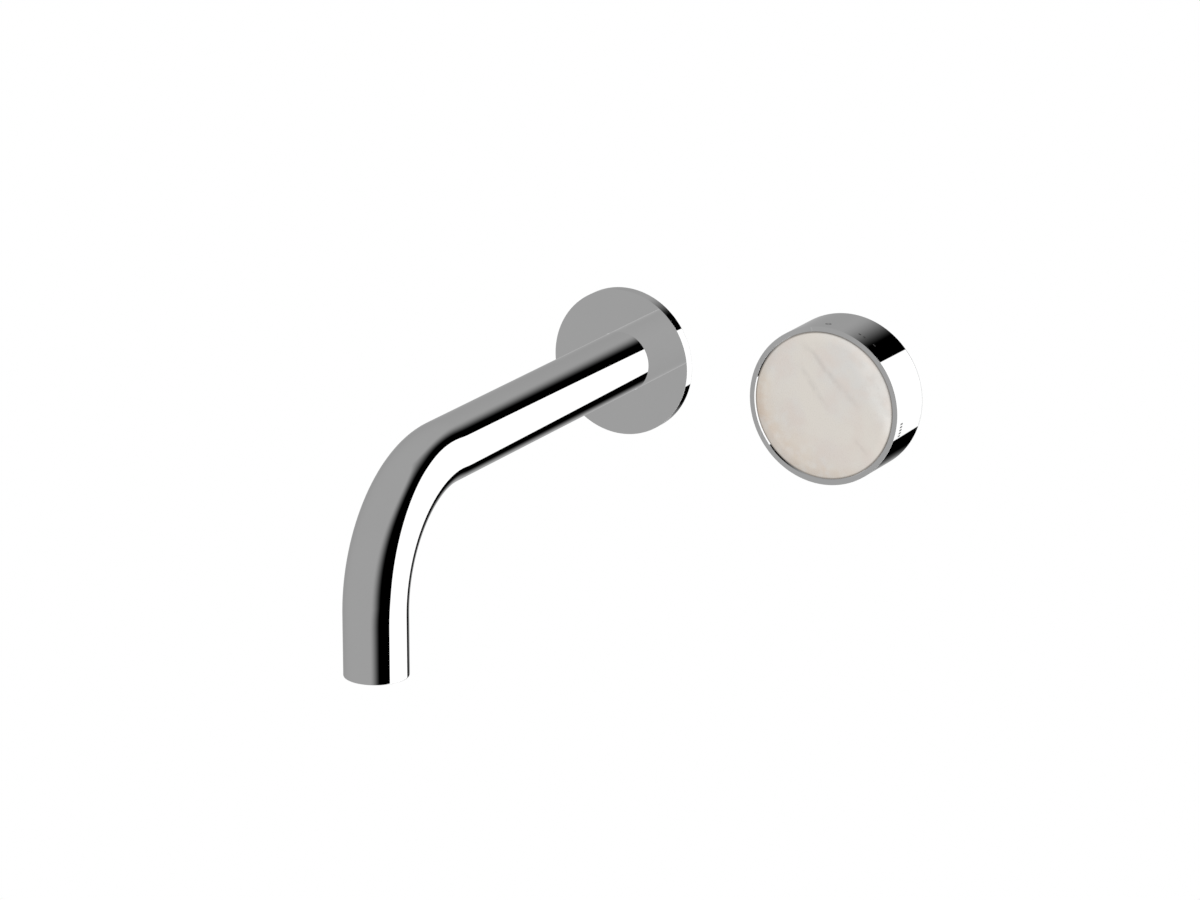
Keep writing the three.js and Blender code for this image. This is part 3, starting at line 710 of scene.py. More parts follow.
@dataclass(frozen=True)
class Marble(Finish):
    """Honed and waxed pale marble, warm white and softly veined, with painted warm shade along its left and
    bottom edges and over its lower left, a painted highlight band near its right edge, and a painted dark shade
    ring at its rim.
    """

    cream: Colour = (0.78, 0.735, 0.675, 1.0)
    blush: Colour = (0.76, 0.685, 0.63, 1.0)
    cool: Colour = (0.75, 0.73, 0.70, 1.0)
    # Colour, start and end radius and strength of the painted shade ring at the stone's edge by the rim.
    painted_rim_shade: Colour = (0.15, 0.13, 0.11, 1.0)
    rim_shade_start: float = 28.9
    rim_shade_end: float = 29.6
    rim_shade_share: float = 0.7
    veins_and_painted_bands: tuple[VeinOrPaintedBand, ...] = ()

    def dress(self, tree: Tree, shader: bpy.types.Node, point: Socket) -> None:
        """Feeds the clouded colour with its veined lines, its painted shade and highlight bands and the painted
        shade ring at the rim, and an even wax polish.
        """
        move = tree.put("ShaderNodeMapping", {"Vector": point, "Location": (-KNOB_X * MM, 0.0, 0.0)})
        spot = move.outputs[0]
        cloud = tree.ramp(tree.noise(spot, 45.0, 4.0), 0.4, 0.62)
        mist = tree.ramp(tree.noise(spot, 85.0, 5.0), 0.42, 0.66)
        tone = tree.blend(cloud, self.cream, self.cool)
        tone = tree.blend(tree.math("MULTIPLY", mist, 0.7), tone, self.blush)
        for vein_or_band in self.veins_and_painted_bands:
            sizes = {"Right": vein_or_band.right, "Up": vein_or_band.up, "Reach": vein_or_band.reach, "Width": vein_or_band.width}
            inputs = {label: size * MM for label, size in sizes.items()}
            inputs |= {"Point": spot, "Turn": math.radians(vein_or_band.turn)}
            mask = tree.group(vein_or_band_group(), inputs).outputs["Mask"]
            tone = tree.blend(tree.math("MULTIPLY", mask, vein_or_band.depth), tone, vein_or_band.tone)
        flat = tree.vector("MULTIPLY", spot, (1.0, 0.0, 1.0)).outputs[0]
        reach = tree.vector("LENGTH", flat).outputs["Value"]
        # Painted shade: a dark ring darkens the stone towards its edge, where it meets the rim.
        painted_rim_shade = tree.ramp(reach, self.rim_shade_start * MM, self.rim_shade_end * MM, (0.0, self.rim_shade_share))
        tone = tree.blend(painted_rim_shade, tone, self.painted_rim_shade)
        tree.feed(shader.inputs["Base Color"], tone)
        polish = tree.group(polish_group(), {"Point": spot, "Low": 0.22, "High": 0.34}).outputs
        tree.feed(shader.inputs["Roughness"], polish["Roughness"])
        skin = tree.group(grain_group(), {"Point": spot, "Grain Scale": 1500.0, "Pits": 0.15}).outputs
        self.bump(tree, shader, skin["Height"], 0.02 * MM, 0.25)


BRASS_LIGHT = (0.78, 0.56, 0.27, 1.0)
BRASS_DARK = (0.62, 0.42, 0.19, 1.0)
# Warm tan of one real tint in the stone, also used for painted shade along its left and bottom edges and over
# its lower left.
TAN_TINT_AND_SHADE = (0.66, 0.47, 0.31, 1.0)
# Pale tone of the painted highlight band near the stone's right edge.
PAINTED_HIGHLIGHT_TONE = (0.92, 0.9, 0.86, 1.0)
BRASS_BRIGHT = (0.84, 0.62, 0.31, 1.0)
COPPER_LIGHT = (0.86, 0.46, 0.32, 1.0)
COPPER_DARK = (0.66, 0.31, 0.2, 1.0)
ZINC_DARK = (0.34, 0.35, 0.37, 1.0)
WHITE_LIGHT = (0.82, 0.82, 0.8, 1.0)
WHITE_DARK = (0.74, 0.74, 0.72, 1.0)
CHROME = Metal("mirror_chrome", Slot.CHROME, grey(0.605), grey(0.598), low=0.0, high=0.012, edge_tint=0.78)
CAST_BRASS = Metal(
    "cast_brass", Slot.BRASS, BRASS_LIGHT, BRASS_DARK,
    low=0.32, high=0.5, haze_scale=30.0, wear=0.5, grain=0.12,
)
TURNED_BRASS = Metal(
    "turned_brass", Slot.BRASS, BRASS_BRIGHT, BRASS_LIGHT,
    low=0.12, high=0.26, haze_scale=60.0, wear=0.4,
)
DRAWN_COPPER = Metal(
    "drawn_copper", Slot.COPPER, COPPER_LIGHT, COPPER_DARK,
    low=0.16, high=0.34, haze_scale=45.0,
)
ZINC_SHEET = Metal(
    "zinc_sheet", Slot.ZINC, grey(0.46), ZINC_DARK,
    low=0.36, high=0.52, haze_scale=130.0, wear=0.3, grain=0.02, grain_scale=500.0,
)
TURNED_STEEL = Metal(
    "turned_steel", Slot.STEEL, grey(0.62), grey(0.52),
    low=0.18, high=0.3, haze_scale=200.0, wear=0.4,
)
RUBBER = Moulded("black_rubber", Slot.RUBBER, grey(0.03), grey(0.016), low=0.5, high=0.7)
WHITE_PLASTIC = Moulded("white_moulding", Slot.WHITE, WHITE_LIGHT, WHITE_DARK)
GREY_PLASTIC = Moulded("grey_moulding", Slot.GREY, grey(0.3), grey(0.24))
CERAMIC = Moulded("lapped_ceramic", Slot.CERAMIC, grey(0.86), grey(0.8), low=0.1, high=0.18, grain=0.01)
ENAMEL = Moulded("mark_enamel", Slot.CHROME, grey(0.02), grey(0.008), low=0.4, high=0.6)
STONE = Marble("pale_marble", Slot.MARBLE, veins_and_painted_bands=(
    VeinOrPaintedBand(right=3.0, up=13.0, turn=-42, reach=21, width=1.9, depth=0.24),
    VeinOrPaintedBand(right=-4.3, up=7.2, turn=-54, reach=13, width=1.9, depth=0.22),
    VeinOrPaintedBand(right=16.6, up=-14.9, turn=-44, reach=6, width=1.2, depth=0.2),
    VeinOrPaintedBand(right=-19.5, up=-14.0, turn=-46, reach=15, width=4.0, depth=0.16, tone=TAN_TINT_AND_SHADE),
    # Painted shade: a broad warm band over the lower left, and warm bands along the left and bottom edges.
    VeinOrPaintedBand(right=-20.0, up=-15.0, turn=-46, reach=40, width=19.0, depth=0.17, tone=TAN_TINT_AND_SHADE),
    VeinOrPaintedBand(right=-28.0, up=3.0, turn=-86, reach=26, width=7.0, depth=0.3, tone=TAN_TINT_AND_SHADE),
    VeinOrPaintedBand(right=0.0, up=-27.5, turn=-4, reach=30, width=8.0, depth=0.22, tone=TAN_TINT_AND_SHADE),
    # Painted highlight: a pale band near the right edge, where the light falls.
    VeinOrPaintedBand(right=24.5, up=4.0, turn=-63, reach=30, width=6.0, depth=0.5, tone=PAINTED_HIGHLIGHT_TONE),
))


# ---- sub-assemblies


@dataclass
class Assembly:
    """A sub-assembly of one body. It builds its pieces and puts each in the place of its node."""

    body: Body = Body.FIXTURE

    def seat(self, piece: Thing, finish: Finish, *nodes: str, mirrored: bool = False) -> None:
        """Gives a piece its finish and its body, in the place of its nodes.

        Args:
            piece: the piece.
            finish: its finish.
            *nodes: the nodes that it stands for.
            mirrored: whether other pieces mirror it. Most are hidden from mirrors, for clean chrome.
        """
        piece.data.materials.clear()
        piece.data.materials.append(finish.material())
        piece.visible_glossy = mirrored
        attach(piece, self.body.value)
        if nodes:
            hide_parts(*nodes)
        LOG.info("%s on %s: %d faces, %s", piece.name, self.body.value, len(piece.data.polygons), finish.name)

    def lathe(self, node: str, finish: Finish, section: list[Station], where: Frame, *cutters: Draft,
              sides: int = FINE, sharp_deg: float = 30.0, mirrored: bool = False) -> None:
        """Turns a round piece, cuts it and seats it in the place of its node.

        Args:
            node: the node, which the piece is named after.
            finish: its finish.
            section: its section.
            where: gives the ring at a height.
            *cutters: what is cut from it.
            sides: corners in each ring.
            sharp_deg: the angle above which its edges stay hard.
            mirrored: whether the other pieces mirror it.
        """
        piece = Draft().sweep(section, where, sides).build(f"{node}_fine", sharp_deg)
        self.seat(cut(piece, *cutters) if cutters else piece, finish, node, mirrored=mirrored)

    def keep(self, finish: Finish, *nodes: str) -> None:
        """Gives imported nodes, whose shape is already right, their finish."""
        for node in nodes:
            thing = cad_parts[node]
            thing.data.materials.clear()
            thing.data.materials.append(finish.material())
            thing.visible_glossy = False
            LOG.info("%s on %s: kept, %s", node, self.body.value, finish.name)

    def build(self) -> None:
        """Builds and dresses every piece. Each sub-assembly says how."""
        raise NotImplementedError


@dataclass
class GrubScrew:
    """A headless screw that points up, with its key socket below."""

    radius: float
    length: float
    tip: Place
    key: float = 2.0

    def seat(self, assembly: Assembly, node: str) -> None:
        """Builds the screw for a sub-assembly, in the place of a node."""
        key, socket = self.key, Hexagon(self.key).cut
        mouth, deep = self.length, self.length * 0.55
        section = plain((0, 0.25), (self.radius * 0.45, 0.25), (self.radius * 0.62, 0))
        section += Thread(self.radius, depth=0.3, pitch=0.7).run(0.3, mouth)
        section += plain((key * 0.62, mouth))
        section += [(key, mouth - 0.15, socket), (key, deep, socket), (0, deep, None)]
        assembly.lathe(node, TURNED_STEEL, section, Axis.DOWN.frame(self.tip), sides=COARSE)


@dataclass
class SpoutPath:
    """The centre line of the spout: out of the wall, round the bend and down to the outlet."""

    start: float = 0.6
    straight_end: float = 150.0
    bend_radius: float = 50.0
    outlet_drop: float = 74.0

    @property
    def bend_length(self) -> float:
        """Returns the length of the quarter turn."""
        return self.bend_radius * math.pi / 2

    @property
    def length(self) -> float:
        """Returns the whole length of the tube."""
        return self.straight_end - self.start + self.bend_length + self.outlet_drop - self.bend_radius

    def frame_at(self, along: float) -> tuple[Vector, Vector, Vector]:
        """Returns the ring's middle and its two directions at a length along the tube."""
        straight = self.straight_end - self.start
        turn = min(max((along - straight) / self.bend_radius, 0), math.pi / 2)
        before = min(along, straight) - straight
        after = max(along - straight - self.bend_length, 0)
        y = -self.straight_end - before - self.bend_radius * math.sin(turn)
        z = self.bend_radius * (math.cos(turn) - 1) - after
        up = Vector((0, -math.sin(turn), math.cos(turn)))
        return Vector((0, y, z)), Vector((1, 0, 0)), up


@dataclass
class Spout(Assembly):
    """The bent chrome tube, its grub screw and the aerator in its mouth."""

    radius: float = 12.5
    bore: float = 10.5
    grub_depth: float = 12.0
    reach: float = 200.0
    outlet: float = -74.0

    def build(self) -> None:
        """Builds the tube, the grub screw and the aerator."""
        self.tube()
        GrubScrew(2.0, 3.2, (0, -self.grub_depth, -9.1)).seat(self, "spout_grub_screw")
        self.housing()
        self.insert()
        self.keep(TURNED_STEEL, "aerator_screen")
        self.keep(RUBBER, "aerator_seal")

    def mouth(self) -> Frame:
        """Returns the frame of the aerator, with heights from the outlet up."""
        return Axis.UP.frame((0, -self.reach, self.outlet))

    def tube(self) -> None:
        """Builds the tube with its rounded lip and the screw hole underneath."""
        path = SpoutPath()
        section = dense(band(self.bore, self.radius, 0, path.length, 0.2, 0.3, 0.35, 0.3), 2.5)
        below, inside = -self.radius - 1, -self.bore + 1
        hole = Draft().rod((0, -self.grub_depth, below), (0, -self.grub_depth, inside), 2.3)
        self.lathe("spout_tube", CHROME, section, path.frame_at, hole, mirrored=True)

    def housing(self) -> None:
        """Builds the threaded aerator ring with key notches in its lip."""
        section = contour(
            (7.8, 0.6, 0.25), (10.2, 0.6, 0.3), (10.2, 12.0, 0.3),
            (8.7, 12.0, 0.2), (8.7, 1.8), (7.8, 1.8, 0.2),
        )
        notches = Draft()
        for i in range(4):
            turn = (i + 0.5) * math.pi / 2
            spoke = Vector((math.cos(turn), math.sin(turn), 0))
            middle = Vector((0, -self.reach, self.outlet + 0.2)) + spoke * 8.2
            notches.rod(middle - spoke * 1.4, middle + spoke * 0.9, 0.8, 24)
        self.lathe("aerator_housing", CHROME, section, self.mouth(), notches)

    def insert(self) -> None:
        """Builds the white flow straightener with its grid of square holes."""
        low, high, radius = 2.1, 7.9, 8.4
        edge = contour((radius, low, 0.3), (radius, high, 0.3), (0, high))[:-1]
        holes, pitch, half = Draft(), 3.0, 1.05
        for column in range(-2, 3):
            for row in range(-2, 3):
                x, y = column * pitch, row * pitch
                if math.hypot(abs(x) + half, abs(y) + half) > radius - 0.4:
                    continue
                corners = [(-half, -half), (half, -half), (half, half), (-half, half)]
                outline = [Vector((x + a, y + b - self.reach, self.outlet + 1)) for a, b in corners]
                holes.extrude(outline, Vector((0, 0, 9)))
        section = [*plain((0, low)), *edge, *plain((0, high))]
        self.lathe("aerator_insert", WHITE_PLASTIC, section, self.mouth(), holes)


@dataclass
class WallFlange(Assembly):
    """The round cover on the wall with its O-ring and its foam gasket."""

    radius: float = 30.0
    depth: float = 4.6
    rim: float = 28.2
    web: float = 1.8
    hub: float = 16.6
    bore: float = 12.85
    lip: float = 12.58

    def build(self) -> None:
        """Builds the flange, the O-ring in its hub and the gasket at its back."""
        at_wall = Axis.OUT_OF_WALL.frame((0, 0, 0))
        inside = self.depth - self.web
        section = contour(
            (self.bore, 0), (self.bore, 1.4), (14.7, 1.4), (14.7, 3.6), (self.lip, 3.6),
            (self.lip, self.depth, 0.04), (self.radius, self.depth, 0.1), (self.radius, 0, 0.2),
            (self.rim, 0, 0.2), (self.rim, inside, 0.3), (self.hub, inside, 0.3), (self.hub, 0, 0.2),
        )
        self.lathe("wall_flange", CHROME, section, at_wall, sides=128)
        self.lathe("flange_o_ring", RUBBER, cord(13.6, 2.5, 1.6), at_wall, sharp_deg=80)
        foam = band(self.hub + 0.3, self.rim - 0.3, 0, 2.5, 0.3, 0.3, 0.4, 0.4)
        self.lathe("flange_gasket", RUBBER, foam, at_wall)


@dataclass
class Connector(Assembly):
    """The threaded nipple that carries the spout, with its seals."""

    radius: float = 10.2
    bore: float = 6.0
    collar: float = 13.6
    front: float = -46.0
    back: float = 40.0
    grooves: dict[str, float] = field(default_factory=lambda: {"front": -36.0, "rear": -25.0})

    def groove(self, middle: float, half: float = 1.2, floor: float = 8.1) -> list[tuple[float, ...]]:
        """Returns the corners of a groove about a place on the nipple."""
        lip, first, last = 0.15, middle - half, middle + half
        return [(self.radius, first, lip), (floor, first, 0.2), (floor, last, 0.2), (self.radius, last, lip)]

    def build(self) -> None:
        """Builds the nipple, its two O-rings and the washer."""
        straight = Axis.INTO_WALL.frame((0, 0, 0))
        outside = contour(
            (self.bore, self.front), (self.radius, self.front, 0.8), *self.groove(self.grooves["front"]),
            *self.groove(self.grooves["rear"]), *self.groove(-12, 3.0, 8.8), (self.radius, 14),
            (self.collar, 14, 0.4), (self.collar, 19.7, 0.4), (9.4, 19.7, 0.2), (9.4, 23), (self.bore, 23),
        )[1:-1]
        key = Hexagon(12.0)
        inside = plain((self.bore, self.back), (self.bore, -34))
        inside += [(7, -34, key.cut), (7, self.front, key.cut)]
        thread = Thread(10.4, depth=1.0, pitch=1.81).run(23.2, self.back)
        self.lathe("spout_connector", TURNED_BRASS, outside + thread + inside, straight)
        for end, middle in self.grooves.items():
            self.lathe(f"connector_o_ring_{end}", RUBBER, cord(9.3, middle, 1.8), straight, sharp_deg=80)
        washer = band(10.6, self.collar, 20.0, 21.7, 0.3, 0.3, 0.3, 0.3)
        self.lathe("connector_washer", RUBBER, washer, straight)


@dataclass
class Knob(Assembly):
    """The chrome shell with its marble inset. It turns on the axis of the cartridge."""

    body: Body = Body.KNOB
    radius: float = 32.0
    wall: float = 2.0
    front: float = 24.4
    back: float = 0.6
    web_front: float = 17.6
    web_back: float = 14.8
    boss: float = 13.0
    boss_bore: float = 8.3
    boss_back: float = 5.0
    screw_depth: float = 10.0
    at_wall: Frame = Axis.OUT_OF_WALL.frame((KNOB_X, 0, 0))

    def build(self) -> None:
        """Builds the shell, the stone, the grub screw and the marks."""
        self.shell()
        self.stone()
        self.marks()
        GrubScrew(1.9, 4.6, (KNOB_X, -self.screw_depth, -8.3)).seat(self, "knob_grub_screw")
        self.keep(RUBBER, "inset_pad")
        self.keep(TURNED_BRASS, "handle_adapter")

    def shell(self) -> None:
        """Builds the shell: rim, web and boss in one, with the way in for the grub screw's key."""
        inner = self.radius - self.wall
        section = contour(
            (self.boss_bore, self.boss_back, 0.3), (self.boss_bore, self.web_front), (inner, self.web_front),
            (inner, self.front, 0.1), (self.radius, self.front, 0.1), (self.radius, self.back, 0.8),
            (inner, self.back, 0.3), (inner, self.web_back, 0.8), (self.boss, self.web_back, 0.8),
            (self.boss, self.boss_back, 0.5),
        )
        way = Draft().rod((KNOB_X, -self.screw_depth, -self.radius - 1), (KNOB_X, -self.screw_depth, -7), 2.2)
        self.lathe("knob_shell", CHROME, dense(section, 3.0), self.at_wall, way, sides=144)

    def stone(self) -> None:
        """Builds the marble disc, whose face falls away gently to a small round edge."""
        back, front, radius = 18.9, 24.2, 29.85
        crown_start, crown_end, fall, steps = 25.6, 29.4, 0.5, 14
        section = contour((0, back), (radius, back, 0.3), (radius, back + 1))[:-1]
        low = front - fall
        section += contour((radius, back + 2), (radius, low - 0.03, 0.32), (crown_end, low))[1:-1]
        for i in range(steps + 1):
            share = 1 - i / steps
            section += plain((crown_start + (crown_end - crown_start) * share, front - fall * share**1.8))
        section += plain((crown_start - 0.2, front), (0, front))
        self.lathe("stone_inset", STONE, section, self.at_wall, sides=128, sharp_deg=50)

    def on_rim(self, turn_deg: float, aside: float, height: float, lift: float) -> Vector:
        """Returns a point on the rim's outside.

        Args:
            turn_deg: where the mark is, from the right towards the top.
            aside: distance round the rim from there.
            height: distance out from the wall.
            lift: distance out from the rim.

        Returns:
            The point.
        """
        turn = math.radians(turn_deg) - aside / self.radius
        reach = self.radius + lift
        return Vector((KNOB_X + reach * math.cos(turn), -height, reach * math.sin(turn)))

    def marks(self) -> None:
        """Builds the marks: a small ring on top, plain dashes beside it and a row low on the right."""
        top, skin, steps = 0.02, -0.06, 24
        turns = [i * math.tau / steps for i in range(steps)]
        draft = Draft()
        rings = []
        for reach, lift in ((1.3, top), (0.8, top), (0.8, skin), (1.3, skin)):
            rings.append(draft.ring(
                self.on_rim(91, reach * math.cos(t), 19.3 + 0.8 * reach * math.sin(t), lift) for t in turns
            ))
        draft.chain(rings, closed=True)
        dashes = [(turn, 18.7, 0.55, 0.4) for turn in (66.5, 62.5, 53.5)]
        dashes += [(-7.5 - 2.3 * i, 19.7, 0.32, 1.0) for i in range(5)]
        for turn, height, half, tall in dashes:
            ends = []
            for aside in (-half, 0.0, half):
                section = [(tall, top), (-tall, top), (-tall, skin), (tall, skin)]
                ends.append(draft.ring(self.on_rim(turn, aside, height + a, lift) for a, lift in section))
            draft.chain(ends, closed=False)
            draft.faces += [tuple(reversed(ends[0])), tuple(ends[-1])]
        self.seat(draft.build("knob_marks"), ENAMEL)


@dataclass
class CartridgeStator(Assembly):
    """The still half of the cartridge, with the sleeve and seal that close the gap to the wall."""

    bore: float = 22.3
    radius: float = 23.8
    front: float = 3.0
    back: float = -26.0
    seal_radius: float = 28.4
    seal_front: float = 2.4

    def build(self) -> None:
        """Builds the sleeve and the wall seal, and dresses the hidden pieces."""
        at_wall = Axis.OUT_OF_WALL.frame((KNOB_X, 0, 0))
        sleeve = band(self.bore, self.radius, self.front, self.back, 0.2, 0.3, 0.3, 0.2)
        self.lathe("cover_sleeve", CHROME, sleeve, at_wall)
        seal = band(self.radius + 0.3, self.seal_radius, 0, self.seal_front, 0.4, 0.4, 0.8, 0.4)
        self.lathe("wall_seal", RUBBER, seal, at_wall)
        self.keep(WHITE_PLASTIC, "cartridge_housing")
        self.keep(TURNED_BRASS, "cartridge_nut")
        self.keep(CERAMIC, "fixed_ceramic_disc")
        self.keep(RUBBER, "cartridge_base_seal")
        self.keep(GREY_PLASTIC, "limit_ring")


@dataclass
class CartridgeRotor(Assembly):
    """The half of the cartridge that turns with the knob."""

    body: Body = Body.KNOB

    def build(self) -> None:
        """Dresses the spindle and the moving disc."""
        self.keep(TURNED_BRASS, "cartridge_spindle")
        self.keep(RUBBER, "spindle_o_ring")
        self.keep(GREY_PLASTIC, "disc_carrier")
        self.keep(CERAMIC, "moving_ceramic_disc")


@dataclass
class Port:
    """One compression port: where its end is, and the way it faces."""

    name: str
    facing: Axis
    end: Place


@dataclass
class Waterway(Assembly):
    """The castings behind the wall, the pipe that joins them and their compression ends."""

    barrel: float = 22.0
    barrel_front: float = 10.0
    chamber: float = 17.6
    chamber_floor: float = 44.0
    port_radius: float = 10.4
    boss_radius: float = 11.6
    pipe: float = 7.5
    pipe_bore: float = 6.5
    pipe_ends: tuple[float, float] = (12.3, 69.7)
    clearance: float = 0.3
    ports: tuple[Port, ...] = (
        Port("elbow", Axis.RIGHT, (26.0, WATERWAY, 0.0)),
        Port("mixer", Axis.LEFT, (56.0, WATERWAY, 0.0)),
        Port("hot_inlet", Axis.DOWN, (KNOB_X - INLET_ASIDE, WATERWAY, -44.0)),
        Port("cold_inlet", Axis.DOWN, (KNOB_X + INLET_ASIDE, WATERWAY, -44.0)),
    )

    def build(self) -> None:
        """Builds both castings, the pipe and the nuts, and dresses the hidden pieces."""
        self.elbow()
        self.mixer()
        pipe = band(self.pipe_bore, self.pipe, *self.pipe_ends, 0.2, 0.2, 0.2, 0.2)
        self.lathe("transfer_pipe", DRAWN_COPPER, pipe, Axis.RIGHT.frame((0, WATERWAY, 0)))
        for port in self.ports:
            self.nut(port)
            self.keep(DRAWN_COPPER, f"{port.name}_olive")
        self.keep(WHITE_PLASTIC, "hot_check_valve", "cold_check_valve")

    def port_solid(self, draft: Draft, port: Port, length: float) -> None:
        """Adds a port's boss and its reduced end to a casting."""
        draft.drill(port.facing.frame(port.end), 0, (self.port_radius, -10), (self.boss_radius, -length))

    def screw_holes(self, casting: str) -> Draft:
        """Returns the cutter for the screw holes in a casting's ears."""
        holes = Draft()
        for name, (x, z) in EAR_SCREWS.items():
            if name.startswith(casting):
                holes.rod((x, EAR_FRONT - 1, z), (x, CASTING_BACK + 1, z), 2.8)
        return holes

    def elbow(self) -> None:
        """Builds the casting that turns the water out to the spout."""
        solid = Draft().rod((0, 22, 0), (0, CASTING_BACK, 0), 14.6)
        solid.slab((0, 0), (10, 32), 9.9, EAR_FRONT, CASTING_BACK)
        self.port_solid(solid, self.ports[0], 26)
        casting = cast(solid, "spout_elbow_fine")
        bore = Draft().drill(Axis.INTO_WALL.frame((0, 0, 0)), 21, (10.8, 41), (7, 56))
        side = Draft().drill(Axis.RIGHT.frame((0, WATERWAY, 0)), 0, (6, 12), (self.pipe + self.clearance, 27))
        self.seat(cut(casting, bore, side, self.screw_holes("elbow")), CAST_BRASS, "spout_elbow")

    def mixer(self) -> None:
        """Builds the mixer casting: block, barrel, ears and three ports."""
        solid = Draft().slab((KNOB_X, 0), (30, 24), 8, 40, CASTING_BACK)
        solid.rod((KNOB_X, self.barrel_front, 0), (KNOB_X, 42, 0), self.barrel, FINE)
        solid.slab((KNOB_X, 27.5), (28, 9.5), 6, EAR_FRONT, CASTING_BACK)
        solid.slab((KNOB_X, -27), (5, 7), 4.5, EAR_FRONT, CASTING_BACK)
        for port, length in zip(self.ports[1:], (17, 23, 23)):
            self.port_solid(solid, port, length)
        casting = cast(solid, "mixer_body_fine")
        chamber = Draft().rod((KNOB_X, 9, 0), (KNOB_X, self.chamber_floor, 0), self.chamber, FINE)
        mouths = Draft()
        for port, depth in zip(self.ports[1:], (14, 30, 30)):
            where = port.facing.frame(port.end)
            mouths.rod(where(1)[0], where(-depth)[0], self.pipe + self.clearance)
        self.seat(cut(casting, chamber, mouths, self.screw_holes("mixer")), CAST_BRASS, "mixer_body")

    def nut(self, port: Port) -> None:
        """Builds a compression nut with chamfered flats, open at both ends."""
        flats = Hexagon(27.0)
        low, high, seat = -9, 7, 3.5
        tight, wide = self.pipe + self.clearance, self.port_radius + 0.4
        section = flats.ends(low, high) + plain((tight, high), (tight, seat), (wide, seat), (wide, low))
        self.lathe(f"{port.name}_nut", TURNED_BRASS, section, port.facing.frame(port.end), sharp_deg=22)


@dataclass
class Mounting(Assembly):
    """The plate that is fixed in the wall, and the screws that hold the castings to it."""

    left: float = -32.0
    right: float = 144.0
    half_height: float = 44.0
    front: float = 66.3
    back: float = 68.8
    slot_inset: tuple[float, float] = (12.0, 8.0)
    slot_half: tuple[float, float] = (7.25, 3.25)
    head: float = 4.5

    def build(self) -> None:
        """Builds the plate and the screws."""
        self.plate()
        for name, (x, z) in EAR_SCREWS.items():
            self.screw(name, x, z)

    def plate(self) -> None:
        """Builds the plate with its four slots, the window and the screw holes."""
        middle, half = (self.left + self.right) / 2, (self.right - self.left) / 2
        plate = Draft().slab((middle, 0), (half, self.half_height), 6, self.front, self.back)
        plate = plate.build("mounting_plate_fine")
        low, high = self.front - 1, self.back + 1
        holes = Draft().slab((42, 0), (12, 12), 6, low, high)
        aside, up = half - self.slot_inset[0], self.half_height - self.slot_inset[1]
        for x in (middle - aside, middle + aside):
            for z in (-up, up):
                holes.slab((x, z), self.slot_half, self.slot_half[1] - 0.01, low, high)
        for x, z in EAR_SCREWS.values():
            holes.rod((x, low, z), (x, high, z), 2.7)
        self.seat(bevel(cut(plate, holes), 0.2), ZINC_SHEET, "mounting_plate")

    def screw(self, name: str, x: float, z: float) -> None:
        """Builds one pan head screw with a cross recess."""
        seat, tip, steps = -61.7, -68.5, 10
        section = plain((0, seat + 2.8))
        for i in range(1, steps + 1):
            turn = i * math.pi / 2 / steps
            section += plain((self.head * math.sin(turn), seat + 1.6 + 1.2 * math.cos(turn)))
        section += plain((self.head, seat + 0.2), (self.head - 0.2, seat), (2.1, seat))
        section += Thread(2.4, depth=0.32, pitch=0.8).run(seat - 1.0, tip) + plain((0, tip))
        arms = ((2.6, 0.45), (0.45, 2.6))
        cross = [Draft().slab((x, z), half, 0.1, -seat - 3.5, -seat - 1.1) for half in arms]
        self.lathe(name, TURNED_STEEL, section, Axis.OUT_OF_WALL.frame((x, 0, z)), *cross, sides=COARSE)


# ---- studio


